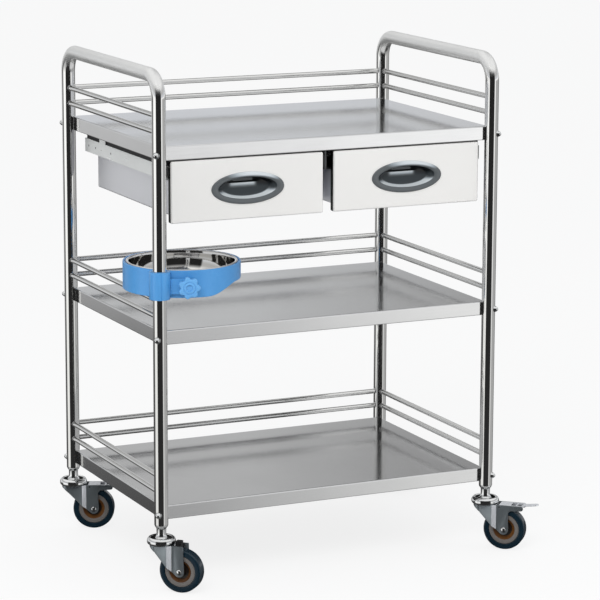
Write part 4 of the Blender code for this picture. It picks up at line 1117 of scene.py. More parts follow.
@dataclass
class Studio:
    """Camera, light, floor and surroundings."""

    plan: Plan
    camera_offset: tuple[float, float, float] = (-2.1784, -4.7498, 1.5203)
    back: tuple[float, float, float] = (-0.4158, -0.8875, 0.1987)
    roll_degrees: float = 0.19
    lens: float = 170.22
    cards: tuple[Card, ...] = (
        Card(-105.0, 38.0, 6.0, (0.50, 0.46), ((0.15, 0.05), (0.19, 0.34), (0.35, 0.40), (0.3675, 0.42),
                                               (0.397, 0.54), (0.428, 1.02))),
        Card(-5.0, 42.0, 13.0, (0.50, 0.47), ((0.15, 0.04), (0.19, 0.34), (0.35, 0.46), (0.50, 0.46))),
        Card(86.0, 60.0, 12.0, (0.50, 0.45), ((0.40, 0.06), (0.50, 0.06))),
        Card(-115.5, 42.0, 4.2, (0.82, 0.69), ((0.36, 0.030), (0.45, 0.020))),
        Card(111.5, 10.0, 6.0, (0.50, 0.46), ((0.364, 0.075), (0.374, 0.13), (0.394, 0.22), (0.402, 0.44),
                                              (0.426, 0.57), (0.432, 0.64))),
        Card(48.0, 13.0, 5.0, (0.55, 0.59), ((0.575, 0.62), (0.60, 0.32), (0.64, 0.30))),
    )
    sky: tuple[tuple[float, Colour], ...] = (
        (0.0, (0.03, 0.03, 0.03)), (0.15, (0.05, 0.05, 0.05)), (0.19, (0.52, 0.52, 0.52)),
        (0.30, (0.60, 0.60, 0.60)), (0.345, (0.88, 0.88, 0.87)), (0.3675, (0.95, 0.95, 0.93)),
        (0.397, (1.07, 1.07, 1.05)), (0.428, (1.28, 1.28, 1.27)), (0.50, (1.15, 1.15, 1.15)),
        (0.53, (0.70, 0.715, 0.75)), (0.57, (0.68, 0.70, 0.735)), (0.6025, (0.575, 0.58, 0.58)),
        (0.632, (0.50, 0.50, 0.50)), (0.70, (0.52, 0.52, 0.52)), (0.80, (1.0, 1.0, 1.0)),
        (1.0, (0.95, 0.95, 0.95)),
    )
    lamps: tuple[Lamp, ...] = (Lamp("key_lamp", (-1.8, -2.4, 2.8), 1.8, 56.0),
                               Lamp("fill_lamp", (2.4, -1.6, 2.0), 1.6, 8.0))
    lamp_aim: tuple[float, float, float] = (0.0, 0.0, 0.45)
    soft_colour: tuple[float, ...] = (0.97, 0.985, 1.0, 1.0)
    soft_light: float = 0.72
    floor_colour: tuple[float, ...] = (0.93, 0.93, 0.93, 1.0)
    floor_half: float = 14.0
    floor_drop: float = 0.5 * MM
    floor_glow: float = 0.82

    def build(self) -> None:
        """Makes the whole studio."""
        self.add_camera()
        self.add_world()
        self.add_floor()
        self.add_lamps()
        bpy.context.scene.view_settings.view_transform = "Standard"

    def add_camera(self) -> None:
        """Sets the camera where the photograph was taken."""
        camera = bpy.data.cameras.new("camera")
        camera.lens = self.lens
        camera.sensor_width = 36.0
        camera.clip_start = 0.1
        camera.clip_end = 60.0
        holder = link("camera", camera)
        back = Vector(self.back).normalized()
        right = Vector((0.0, 0.0, 1.0)).cross(back).normalized()
        up = back.cross(right)
        roll = math.radians(self.roll_degrees)
        across = math.cos(roll) * right + math.sin(roll) * up
        upward = math.cos(roll) * up - math.sin(roll) * right
        place = Matrix((across, upward, back)).transposed().to_4x4()
        offset = Vector(self.camera_offset)
        place.translation = offset + Vector((self.plan.centre_x, self.plan.centre_y, 0.0))
        holder.matrix_world = place
        bpy.context.scene.camera = holder

    def add_world(self) -> None:
        """Pale surroundings, with the dark stripes that polished metal shows."""
        world = bpy.data.worlds.new("studio")
        bpy.context.scene.world = world
        world.use_nodes = True
        world.node_tree.nodes.clear()
        tree = NodeTree(world.node_tree)
        plain = tree.node("Background", {"Color": WHITE, "Strength": 1.0})
        mirror = tree.node("Background", {"Color": self.mirror_colour(tree), "Strength": 1.0})
        soft = tree.node("Background", {"Color": self.soft_colour, "Strength": self.soft_light})
        path = tree.node("LightPath")
        shader = soft.outputs[0]
        for ray, seen in (("Glossy", mirror), ("Transmission", plain), ("Camera", plain)):
            mix = tree.node("MixShader", {0: path.outputs[f"Is {ray} Ray"], 1: shader, 2: seen.outputs[0]})
            shader = mix.outputs[0]
        tree.node("OutputWorld", {"Surface": shader})

    def mirror_colour(self, tree: NodeTree) -> Socket:
        """Colour of the studio by direction, as metal sees it.

        Args:
            tree: The world's node tree.

        Returns:
            The colour socket.
        """
        direction = tree.node("TexCoord").outputs["Generated"]
        split = tree.node("SeparateXYZ", {0: direction})
        rise = tree.node("MapRange", {"Value": split.outputs["Z"], "From Min": -1.0, "From Max": 1.0})
        height = rise.outputs["Result"]
        ramp = tree.node("ValToRGB", {"Fac": height})
        fill_ramp(ramp, self.sky)
        flat = tree.node("VectorMath", {0: direction, 1: (1.0, 1.0, 0.0)}, operation="MULTIPLY")
        compass = tree.node("VectorMath", {0: flat.outputs[0]}, operation="NORMALIZE")
        colour = ramp.outputs["Color"]
        for card in self.cards:
            colour = self.add_card(tree, card, colour, compass.outputs[0], height)
        return colour

    @staticmethod
    def add_card(tree: NodeTree, card: Card, colour: Socket,
                 compass: Socket, height: Socket) -> Socket:
        """Lays one card over the surroundings.

        Args:
            tree: The world's node tree.
            card: The card.
            colour: Colour without the card.
            compass: Direction along the floor, as a unit vector.
            height: Height of the direction, from 0 below to 1 above.

        Returns:
            Colour with the card.
        """
        turn = math.radians(card.bearing)
        middle = (math.cos(turn), math.sin(turn), 0.0)
        dot = tree.node("VectorMath", {0: compass, 1: middle}, operation="DOT_PRODUCT")
        edge = tree.node("MapRange", {"Value": dot.outputs["Value"],
                                      "From Min": math.cos(math.radians(card.half_width + card.soft_edge)),
                                      "From Max": math.cos(math.radians(card.half_width))})
        reach = tree.node("MapRange", {"Value": height, "From Min": card.fade[0], "From Max": card.fade[1]})
        share = tree.node("Math", {0: edge.outputs["Result"], 1: reach.outputs["Result"]},
                          operation="MULTIPLY")
        shades = tree.node("ValToRGB", {"Fac": height})
        fill_ramp(shades, [(place, (shade, shade, shade)) for place, shade in card.shades])
        inputs = {"Factor": share.outputs[0], 6: colour, 7: shades.outputs["Color"]}
        return tree.node("Mix", inputs, data_type="RGBA").outputs[2]

    def add_floor(self) -> None:
        """A white floor that keeps a soft shadow."""
        bm = bmesh.new()
        bmesh.ops.create_grid(bm, x_segments=1, y_segments=1, size=self.floor_half)
        floor = link("floor", as_mesh(bm, "floor"))
        floor.location.z = -self.floor_drop
        floor.visible_glossy = False
        nodes = MaterialTree("floor_white")
        nodes.fill(nodes.shader, {"Base Color": self.floor_colour, "Roughness": 0.9,
                                  "Specular IOR Level": 0.0})
        glow = nodes.node("Emission", {"Color": WHITE})
        path = nodes.node("LightPath")
        share = nodes.node("Math", {0: path.outputs["Is Camera Ray"], 1: self.floor_glow},
                           operation="MULTIPLY")
        mix = nodes.node("MixShader", {0: share.outputs[0], 1: nodes.shader.outputs[0], 2: glow.outputs[0]})
        nodes.fill(nodes.tree.nodes["Material Output"], {"Surface": mix.outputs[0]})
        floor.data.materials.append(nodes.material)

    def add_lamps(self) -> None:
        """Two large soft lamps, which metal does not mirror."""
        for lamp in self.lamps:
            light = bpy.data.lights.new(lamp.name, "AREA")
            light.shape = "DISK"
            light.size = lamp.size
            light.energy = lamp.power
            holder = link(lamp.name, light)
            holder.location = lamp.place
            aim = Vector(self.lamp_aim) - Vector(lamp.place)
            holder.rotation_euler = aim.to_track_quat("-Z", "Y").to_euler()
            holder.visible_glossy = False
            holder.visible_camera = False


# Sub-assemblies. Most pieces are built about the middle of the posts, or about one post or axle,
# and are then set in their place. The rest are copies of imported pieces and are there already.


@dataclass
class SideFrame:
    """One bent tube: two posts, a handle bar and the dome screws of the shelves."""

    plan: Plan
    side: Side
    wall: float = 1.2 * MM
    bend: float = 40.0 * MM
    handle_height: float = 923.0 * MM
    foot: float = 119.5 * MM
    sides: int = 48
    bend_steps: int = 20
    screw_heights: tuple[float, ...] = (139.5 * MM, 458.5 * MM, 786.5 * MM)
    screw_radius: float = 6.0 * MM
    screw_height: float = 6.3 * MM

    def axis(self) -> list[Vector]:
        """The tube's axis, up the front post and down the back one.

        Returns:
            Its points.
        """
        x = self.side.value * self.plan.half_width
        half = self.plan.half_depth
        low = self.handle_height - self.bend
        run = [(-half, self.foot + rise) for rise in (0.0, 1.0 * MM, 2.5 * MM)]
        run += [(-half, 0.5 * low), (-half, low - 2.0 * MM)]
        run += arc((-half + self.bend, low), self.bend, 180.0, 90.0, self.bend_steps)
        run += [(-half / 2.0, self.handle_height), (half / 2.0, self.handle_height)]
        run += arc((half - self.bend, low), self.bend, 90.0, 0.0, self.bend_steps)
        run += [(half, low - 2.0 * MM), (half, 0.5 * low)]
        run += [(half, self.foot + rise) for rise in (2.5 * MM, 1.0 * MM, 0.0)]
        return [Vector((x, y, z)) for y, z in run]

    def tube(self) -> bpy.types.Object:
        """The hollow tube with slightly rounded ends.

        Returns:
            The piece.
        """
        points = self.axis()
        outer, inner = self.plan.tube_radius, self.plan.tube_radius - self.wall
        radii = [outer - 0.4 * MM] + [outer] * (len(points) - 2) + [outer - 0.4 * MM]
        loops = self.rings(points, radii) + list(reversed(self.rings(points, [inner] * len(points))))
        return solid(f"side_frame_{self.side.label}", loft(loops, closed=True), Finishes.TUBE)

    def rings(self, points: Sequence[Vector], radii: Sequence[float]) -> list[list[Vector]]:
        """Circles square to a path that stays in one X plane.

        Args:
            points: Points of the path.
            radii: Radius of the circle at each.

        Returns:
            The circles.
        """
        loops = []
        across = Vector((1.0, 0.0, 0.0))
        for i, point in enumerate(points):
            along = (points[min(i + 1, len(points) - 1)] - points[max(i - 1, 0)]).normalized()
            other = along.cross(across)
            loops.append([point + radii[i] * (math.cos(t) * across + math.sin(t) * other)
                          for t in around(self.sides)])
        return loops

    def screws(self) -> bpy.types.Object:
        """The dome heads on the outer corners of both posts.

        Returns:
            The piece.
        """
        places = []
        for end in End:
            outward = Vector((self.side.value, end.value, 0.0)).normalized()
            post = Vector((self.side.value * self.plan.half_width, end.value * self.plan.half_depth, 0.0))
            for height in self.screw_heights:
                seat = post + outward * (self.plan.tube_radius - 0.4 * MM) + Vector((0.0, 0.0, height))
                places.append((seat, outward))
        return domed_heads(f"shelf_screws_{self.side.label}", places, self.screw_radius - 0.6 * MM,
                           self.screw_height + 0.4 * MM, self.screw_radius, 1.6 * MM, Finishes.BRIGHT)

    def build(self) -> None:
        """Builds the tube and its screws on the frame."""
        node = f"{self.side.label}_frame"
        for piece in (self.tube(), self.screws()):
            set_place(piece, self.plan.centred())
            mount(piece, "frame", (node,))


@dataclass
class GuardRails:
    """Two rails on the left, right and back of a shelf, welded to the posts."""

    plan: Plan
    shelf: Shelf
    top: float
    heights: tuple[float, float] = (24.5 * MM, 53.5 * MM)
    bite: float = 1.2 * MM
    bead: float = 1.3 * MM

    def build(self) -> None:
        """Builds all six rails as one piece on the frame."""
        half_x, half_y = self.plan.half_width, self.plan.half_depth
        reach = self.plan.tube_radius - self.bite
        ends = []
        for above in self.heights:
            z = self.top + above
            for side in Side:
                x = side.value * half_x
                ends.append(((x, -half_y + reach, z), (x, half_y - reach, z)))
            ends.append(((-half_x + reach, half_y, z), (half_x - reach, half_y, z)))
        mesh = bpy.data.meshes.new("rails")
        points = [point for pair in ends for point in pair]
        mesh.from_pydata(points, [(2 * i, 2 * i + 1) for i in range(len(ends))], [])
        rails = link(f"guard_rails_{self.shelf.value}", mesh)
        radius = self.plan.rail_radius
        bar_tree().run(rails, {"Bar Radius": radius, "Bar Sides": 28, "Bead Ring Radius": radius + 0.1 * MM,
                               "Bead Radius": self.bead, "Bar Finish": Finishes.get(Finishes.RAIL),
                               "Bead Finish": Finishes.get(Finishes.WELD)})
        smooth(rails)
        set_place(rails, self.plan.centred())
        nodes = [f"rail_{place}_{self.shelf.value}_{level}" for place in ("left", "right", "back")
                 for level in ("low", "high")]
        mount(rails, "frame", nodes)


@dataclass
class ShelfTray:
    """A folded tray with notches for the posts and a stiffener below."""

    plan: Plan
    shelf: Shelf
    top: float
    skirt: float = 25.5 * MM
    sheet: float = 1.2 * MM
    lip: float = 8.0 * MM
    fold: float = 1.8 * MM
    setback: float = 3.5 * MM
    stiffener_half: float = 30.0 * MM
    stiffener_depth: float = 14.0 * MM
    stiffener_brim: float = 12.0 * MM
    stiffener_end: float = 45.0 * MM

    def outline(self, inset: float) -> Flat:
        """The tray's outline, moved in.

        Args:
            inset: How far it is moved in.

        Returns:
            Its points, anticlockwise from the back right post.
        """
        back = self.setback + inset
        notch = self.plan.tube_radius + FIT_GAP + inset
        reach = math.sqrt(notch * notch - back * back)
        first = math.degrees(math.atan2(-reach, -back))
        last = math.degrees(math.atan2(-back, -reach))
        corner = arc((0.0, 0.0), notch, first, last, 10)
        points = []
        for sx, sy in ((1, 1), (-1, 1), (-1, -1), (1, -1)):
            run = corner if sx * sy > 0 else list(reversed(corner))
            points += [(sx * (self.plan.half_width + x), sy * (self.plan.half_depth + y)) for x, y in run]
        return points

    def build(self) -> None:
        """Builds the tray on the frame."""
        steps = [(self.fold + 1.5 * MM, 0.0)] + fold_steps(self.fold)
        steps += [(0.0, self.fold + 0.6 * MM), (0.0, self.skirt - 1.6 * MM), (0.0, self.skirt - 0.8 * MM),
                  (0.25 * MM, self.skirt - 0.25 * MM), (0.8 * MM, self.skirt), (1.4 * MM, self.skirt),
                  (self.lip, self.skirt)]
        loops = [[(x, y, self.top - drop) for x, y in self.outline(inset)] for inset, drop in steps]
        surface = loft(loops, caps=(True, False))
        tray = folded_sheet(surface, f"tray_{self.shelf.value}", self.sheet, (0, 0, 1))
        dress(tray, Finishes.SHEET)
        if self.shelf is not Shelf.TOP:
            tray = joined(tray.name, [tray, dress(self.stiffener(), Finishes.SHEET)])
        smooth(tray)
        set_place(tray, self.plan.centred())
        mount(tray, "frame", (f"shelf_{self.shelf.value}",))

    def stiffener(self) -> bpy.types.Object:
        """The hat channel below the tray.

        Returns:
            The channel.
        """
        under = self.top - self.sheet
        low = under - self.stiffener_depth
        wide, sheet = self.stiffener_half, self.sheet
        brim = wide + self.stiffener_brim
        section = [(-brim, under), (-brim, under - sheet), (-wide, under - sheet), (-wide + sheet, low),
                   (wide - sheet, low), (wide, under - sheet), (brim, under - sheet), (brim, under)]
        half = self.plan.half_width - self.stiffener_end
        loops = [[(x, y, z) for y, z in section] for x in (-half, half)]
        return soften(link("stiffener", close_mesh(loft(loops), "stiffener")), 0.6 * MM)


@dataclass
class Drawer:
    """One drawer: folded front, oval pull and sheet box."""

    plan: Plan
    side: Side
    gap: float = 20.6 * MM
    end_space: float = 24.0 * MM
    face: float = -218.0 * MM
    top: float = 772.2 * MM
    height: float = 110.2 * MM
    depth: float = 12.0 * MM
    sheet: float = 1.2 * MM
    fold: float = 1.6 * MM
    box_length: float = 350.0 * MM
    box_height: float = 88.0 * MM
    box_drop: float = 9.0 * MM
    hem: float = 5.0 * MM
    slide_room: float = 11.2 * MM
    hanger_sheet: float = 1.5 * MM
    pull_size: tuple[float, float] = (70.5 * MM, 29.0 * MM)
    pull_mouth: tuple[float, float] = (57.5 * MM, 19.5 * MM)
    pull_proud: float = 3.0 * MM
    pull_depth: float = 17.0 * MM
    pull_wall: float = 1.5 * MM
    pull_room: float = 3.0 * MM
    pull_steps: int = 144
    pull_rows: int = 34

    @property
    def body(self) -> str:
        """Body that the drawer rides on."""
        return f"drawer_{self.side.label}"

    def span(self) -> tuple[float, float]:
        """Where the front stands along X.

        Returns:
            Its left and right edge.
        """
        inner, outer = self.gap / 2.0, self.plan.half_width - self.end_space
        low, high = sorted((self.side.value * inner, self.side.value * outer))
        return low, high

    def middle(self) -> tuple[float, float]:
        """The middle of the pull, as X and Z."""
        low, high = self.span()
        return (low + high) / 2.0, self.top - self.height / 2.0

    def oval(self, a: float, b: float, y: float, rise: float = 0.0) -> Loop:
        """An ellipse round the pull's middle at depth y."""
        cx, cz = self.middle()
        return [(cx + a * math.cos(t), y, cz + rise + b * math.sin(t)) for t in around(self.pull_steps)]

    def pull_hole(self, wall: float, room: float) -> bmesh.types.BMesh:
        """The oval hole through a wall whose outer face is at wall."""
        a, b = self.pull_mouth[0] + self.pull_wall + room, self.pull_mouth[1] + self.pull_wall + room
        return loft([self.oval(a, b, wall - self.sheet), self.oval(a, b, wall + 2.0 * self.sheet)])

    def front(self) -> bpy.types.Object:
        """The folded front with its returns, which are painted black as painted shade.

        Returns:
            The piece.
        """
        x0, x1 = self.span()
        steps = [(self.fold + 1.2 * MM, 0.0)] + fold_steps(self.fold)
        steps += [(0.0, self.fold + 0.6 * MM), (0.0, self.depth - 1.1 * MM), (0.0, self.depth - 0.5 * MM),
                  (0.5 * MM, self.depth), (8.0 * MM, self.depth)]
        low, high = (x0, self.top - self.height), (x1, self.top)
        loops = [[(x, self.face + back, z) for x, z in rectangle(low, high, inset, 2.0 * self.fold)]
                 for inset, back in steps]
        surface = loft(loops, caps=(True, False))
        panel = folded_sheet(surface, f"drawer_panel_{self.side.label}", self.sheet, (0, -1, 0))
        cut(panel, self.pull_hole(self.face, FIT_GAP))
        dress(smooth(panel), Finishes.FRONT)
        behind = self.face + self.fold
        # Painted shade: the returns are painted black.
        paint(panel, Finishes.DARK, lambda face: abs(face.normal.x) > 0.7 and face.center.y > behind)
        return panel

    def box(self) -> bpy.types.Object:
        """The sheet box with its hem.

        Returns:
            The piece.
        """
        inner = self.hanger_sheet + self.slide_room
        outer = self.plan.half_width - self.end_space - (inner - self.gap / 2.0) - FIT_GAP
        x0, x1 = sorted((self.side.value * inner, self.side.value * outer))
        front = self.face + self.depth + FIT_GAP
        rim = self.top - self.box_drop
        low = rim - self.box_height
        steps = [(1.3 * self.fold + 1.2 * MM, low)]
        steps += [(1.3 * inset, low + 1.3 * up) for inset, up in fold_steps(self.fold)]
        steps += [(0.0, low + 3.0 * MM), (0.0, rim - 2.0 * MM), (0.0, rim - 1.0 * MM),
                  (0.3 * MM, rim - 0.3 * MM), (1.0 * MM, rim), (self.hem, rim)]
        near, far = (x0, front), (x1, front + self.box_length)
        loops = [[(x, y, z) for x, y in rectangle(near, far, inset, 4.0 * MM)] for inset, z in steps]
        surface = loft(loops, caps=(True, False))
        box = folded_sheet(surface, f"drawer_tray_{self.side.label}", self.sheet, (0, 0, -1))
        cut(box, self.pull_hole(front, self.pull_room))
        return dress(smooth(box), Finishes.BOX)

    def scoop(self, x: float, z: float) -> float:
        """Depth of the pull's inside at x and z from its middle.

        Args:
            x: Offset along the front, as a share of the mouth.
            z: Offset upwards, as a share of the mouth.

        Returns:
            Depth behind the panel's face.
        """
        radius = math.sqrt(x * x + z * z)
        wall = 1.0 - ease((radius - 0.80) / 0.20)
        floor = 0.50 + 0.26 * ease((z + 0.75) / 1.2)
        ledge = ease((z - 0.42) / 0.16) * ease((0.62 - abs(x + 0.06)) / 0.35)
        return self.pull_depth * (wall * floor + 0.20 * ledge * wall)

    def painted_light(self, x: float, z: float, depth: float) -> float:
        """Painted light and shade on the pull's plastic, from the painted shade in the scoop to the painted
        highlights on its lips.

        Args:
            x: Offset along the front, as a share of the mouth.
            z: Offset upwards, as a share of the mouth.
            depth: Depth behind the panel's face.

        Returns:
            The painted light, from 0 for painted shade to 1 for painted highlight.
        """
        radius = math.sqrt(x * x + z * z)
        if radius > 1.02 or depth < -0.4 * MM:
            # Painted highlight on the upper right of the bezel.
            upper = ease((math.sin(math.atan2(z, x) + 0.25) - 0.62) / 0.38)
            return 0.47 + 0.5 * upper * ease((radius - 1.08) / 0.10)
        # Painted highlight on the lower inner lip, painted shade under the upper rim and on the right of the
        # pocket, painted highlight along the ledge, painted shade on the floor.
        low = ease((-z - 0.05) / 0.45) * ease((radius - 0.74) / 0.10)
        shadow = max(ease((z - 0.40) / 0.05), ease((z + 0.05) / 0.45) * ease((x - 0.22) / 0.30))
        ledge = ease((z + 0.10) / 0.48) * ease((0.43 - z) / 0.04) * ease((0.52 - abs(x + 0.08)) / 0.16)
        floor = 0.24 - 0.23 * shadow
        return floor + (0.98 - floor) * max(low, ledge)

    def pull(self) -> bpy.types.Object:
        """The oval pull with its rolled bezel and scooped inside, with its painted light and shade in an
        attribute.

        Returns:
            The piece.
        """
        a, b = self.pull_mouth
        out_a, out_b = self.pull_size
        wall, face = self.pull_wall, self.face
        loops = [self.oval(a + wall, b + wall, face + self.pull_depth - 1.0 * MM),
                 self.oval(a + wall, b + wall, face - 0.3 * MM), self.oval(out_a, out_b, face - 0.3 * MM)]
        for i in range(9):
            t = math.pi * i / 8.0
            share = 0.5 - 0.5 * math.cos(t)
            height = 0.35 + 0.65 * math.sin(t) ** 0.8 if i < 5 else 0.15 + 0.85 * math.sin(t) ** 0.8
            loops.append(self.oval(out_a - 0.3 * MM + (a - out_a + 0.3 * MM) * share,
                                   out_b - 0.3 * MM + (b - out_b + 0.3 * MM) * share,
                                   face - 0.3 * MM - (self.pull_proud - 0.3 * MM) * height))
        cx, cz = self.middle()
        for row in range(1, self.pull_rows):
            share = (1.0 - row / self.pull_rows) ** 0.8
            loops.append([(x, face + self.scoop((x - cx) / a, (z - cz) / b), z)
                          for x, _, z in self.oval(a * share, b * share, 0.0)])
        piece = link(f"oval_pull_{self.side.label}", close_mesh(loft(loops), "pull"))
        dress(smooth(piece, math.radians(55.0)), Finishes.PULL)
        # Stores the painted light and shade at every point.
        painted_shades = piece.data.attributes.new(PAINTED_LIGHT_ATTRIBUTE, "FLOAT", "POINT")
        for vert, painted_light in zip(piece.data.vertices, painted_shades.data):
            painted_light.value = self.painted_light((vert.co.x - cx) / a, (vert.co.z - cz) / b, vert.co.y - face)
        return piece

    def build(self) -> None:
        """Builds the drawer's pieces on its body."""
        label = self.side.label
        for piece, slot, node in ((self.front(), "drawer_sheet", f"drawer_front_{label}"),
                                  (self.box(), "drawer_sheet", f"drawer_box_{label}"),
                                  (self.pull(), "pull_plastic", f"pull_{label}")):
            set_place(piece, self.plan.centred())
            mount(piece, self.body, (node,))


@dataclass
class Slides:
    """The slides of one drawer, with black heads in their holes and a black strip above the outer one, both
    painted shade.
    """

    side: Side
    rounding: float = 0.25 * MM
    height: float = 25.0 * MM
    hole_shares: tuple[float, ...] = (0.05, 0.13, 0.66, 0.86, 0.95)
    head_radius: float = 2.5 * MM
    packing: float = 1.2 * MM
    packing_rise: float = 10.9 * MM
    packing_setback: float = 1.9 * MM

    def member(self, kind: str, place: str, body: str) -> None:
        """Builds one member of a slide on its body.

        Args:
            kind: Channel or runner.
            place: Inner or outer.
            body: Body that it rides on.
        """
        node = f"slide_{kind}_{self.side.label}_{place}"
        # The inner members get a dark copy of the slide finish as painted shade.
        finish = Finishes.SLIDE if place == "outer" else Finishes.SHADED
        parts = [dress(refined(node, node, self.rounding), finish)]
        if kind == "channel":
            parts.append(self.heads(node, place))
        piece = smooth(joined(f"drawer_{node}", parts), FLAT_ANGLE)
        mount(piece, body, (node,))

    def heads(self, node: str, place: str) -> bpy.types.Object:
        """Black heads in a channel's holes, which paint the shade in the holes.

        Args:
            node: The channel.
            place: Inner or outer.

        Returns:
            The screws.
        """
        low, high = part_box(node)
        outward = self.side.value if place == "outer" else -self.side.value
        face = high.x if outward > 0 else low.x
        places = [((face - outward * 0.5 * MM, low.y + share * (high.y - low.y), low.z + self.height / 2.0),
                   (outward, 0.0, 0.0)) for share in self.hole_shares]
        # Painted shade: the heads make the holes dark.
        return domed_heads(f"{node}_screws", places, self.head_radius * 0.7, 0.5 * MM, self.head_radius,
                           0.6 * MM, Finishes.BLOCK)

    def strip(self) -> None:
        """Builds a black strip between the outer slide and the shelf, which paints the shade in the gap."""
        low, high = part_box(f"slide_channel_{self.side.label}_outer")
        outward = self.side.value
        face = (high.x if outward > 0 else low.x) - outward * self.packing_setback
        back = face - outward * self.packing
        top = low.z + self.height
        section = [(face, top - 0.6 * MM), (face, top + self.packing_rise), (back, top + self.packing_rise),
                   (back, top + 1.0 * MM), (back - outward * 4.0 * MM, top + 1.0 * MM),
                   (back - outward * 4.0 * MM, top - 0.6 * MM)]
        loops = [[(x, y, z) for x, z in section] for y in (low.y + 2.0 * MM, high.y - 6.0 * MM)]
        # Painted shade: a black strip fills the gap above the slide.
        mount(solid(f"slide_packing_{self.side.label}", loft(loops), Finishes.BLOCK), "frame")

    def build(self) -> None:
        """Builds both slides on the frame and the drawer."""
        for place in ("inner", "outer"):
            self.member("channel", place, "frame")
            self.member("runner", place, f"drawer_{self.side.label}")
        self.strip()


@dataclass
class Caster:
    """A swivel caster: stem, fork with its bearing housing, wheel and any pedal."""

    plan: Plan
    side: Side
    end: End
    angle: float
    pedal: Pedal = Pedal.NONE
    wheel_radius: float = 39.5 * MM
    tyre_width: float = 22.0 * MM
    tyre_inner: float = 29.0 * MM
    hub_width: float = 20.0 * MM
    dish_radius: float = 21.5 * MM
    dish_depth: float = 7.0 * MM
    boss_radius: float = 8.0 * MM
    trail: float = 39.0 * MM
    sheet: float = 2.2 * MM
    side_gap: float = 2.2 * MM
    cheek_end: float = 9.5 * MM
    nose_setback: float = 12.0 * MM
    nose_radius: float = 8.0 * MM
    joggle_start: float = 24.5 * MM
    joggle_length: float = 7.5 * MM
    joggle_width: float = 5.0 * MM
    crown_radius: float = 26.0 * MM
    crown_bottom: float = 84.5 * MM
    crown_top: float = 98.3 * MM
    well_radius: float = 16.0 * MM
    well_floor: float = 91.0 * MM
    horn_reach: float = 37.0 * MM
    horn_height: float = 9.0 * MM
    axle_radius: float = 3.2 * MM
    rivet_size: tuple[float, float] = (5.5 * MM, 2.2 * MM)
    pin_size: tuple[float, float] = (1.5 * MM, 0.5 * MM)
    pin_distance: float = 31.0 * MM
    pin_drop: float = 3.4 * MM
    nut_radius: float = 13.2 * MM
    plug_length: float = 22.0 * MM
    post_foot: float = 119.5 * MM

    @property
    def label(self) -> str:
        """Ending of the names of this caster's nodes."""
        return f"{self.end.label}_{self.side.label}"

    @property
    def half_gap(self) -> float:
        """Half the space between the cheeks."""
        return self.tyre_width / 2.0 + self.side_gap

    def place(self) -> Matrix:
        """Turns a caster made about its kingpin to its place under the post."""
        foot = self.plan.post(self.side, self.end)
        return Matrix.Translation(foot) @ Matrix.Rotation(math.radians(self.angle), 4, "Z")

    def at_axle(self) -> Matrix:
        """Lays a shape turned about Z on the axle."""
        spot = Matrix.Translation((self.trail, 0.0, self.wheel_radius))
        return self.place() @ spot @ Matrix.Rotation(math.radians(90.0), 4, "X")

    def tyre(self) -> bpy.types.Object:
        """The rubber tyre with rounded shoulders and a moulding line.

        Returns:
            The piece.
        """
        half, inner, outer = self.tyre_width / 2.0, self.tyre_inner, self.wheel_radius
        shoulder = [(outer - 3.2 * MM + 3.2 * MM * math.cos(t), half - 3.6 * MM + 3.6 * MM * math.sin(t))
                    for t in (math.radians(90.0 - 10.0 * i) for i in range(1, 9))]
        side = [(inner, half - 0.6 * MM), (inner + 0.5 * MM, half - 0.15 * MM),
                (inner + 1.2 * MM, half - 0.1 * MM), (outer - 4.2 * MM, half)]
        upper = side + shoulder + [(outer, half - 5.0 * MM), (outer, 0.25 * MM), (outer - 0.25 * MM, 0.0)]
        profile = upper + [(r, -z) for r, z in reversed(upper[:-1])]
        return solid(f"wheel_tyre_{self.label}", turned(profile, 96, True), Finishes.TYRE)

    def hub(self) -> bpy.types.Object:
        """The wheel core: rim ring, dished web and boss.

        Returns:
            The piece.
        """
        half, rim = self.hub_width / 2.0, self.tyre_inner - FIT_GAP
        dish, bore = half - self.dish_depth, self.axle_radius + FIT_GAP
        boss = self.half_gap - FIT_GAP
        radius, ring = self.boss_radius, self.dish_radius
        upper = [(bore, boss), (radius - 1.0 * MM, boss), (radius, boss - 1.0 * MM),
                 (radius, dish + 1.6 * MM), (radius + 0.6 * MM, dish + 0.5 * MM), (radius + 2.0 * MM, dish),
                 (ring - 7.6 * MM, dish), (ring - 6.8 * MM, dish + 0.4 * MM),
                 (ring - 0.9 * MM, half - 1.0 * MM), (ring - 0.3 * MM, half - 0.3 * MM),
                 (ring + 0.4 * MM, half), (rim - 1.4 * MM, half), (rim - 0.5 * MM, half - 0.2 * MM),
                 (rim, half - 0.9 * MM)]
        profile = upper + [(r, -z) for r, z in reversed(upper)]
        hub = solid(f"wheel_core_{self.label}", turned(profile, 80, True), Finishes.HUB)
        edge, web = ring - 0.8 * MM, ring - 7.2 * MM
        paint(hub, Finishes.DISH, lambda face: web < off_axis(face) < edge)
        paint(hub, Finishes.WEB, lambda face: off_axis(face) <= web)
        return hub

    def side_outline(self) -> Flat:
        """The side view of the cheeks.

        Returns:
            Its points, as X and Z.
        """
        top = self.crown_bottom + self.sheet
        nose = -self.nose_setback - self.nose_radius - self.sheet
        heel = self.trail + self.cheek_end
        points = [(nose, top), (nose, self.crown_bottom - 1.5 * self.sheet)]
        points += arc((self.trail, self.wheel_radius), self.cheek_end, 222.0, 360.0, 20)
        if self.pedal is Pedal.NONE:
            return points + [(heel - 1.8 * MM, top)]
        tip, half = self.trail + self.horn_reach, self.horn_height / 2.0
        points += arc((heel + 7.0 * MM, top - self.horn_height - 9.0 * MM), 8.0 * MM, 180.0, 95.0, 8)
        return points + arc((tip - half, top - half), half, 270.0, 450.0, 14)

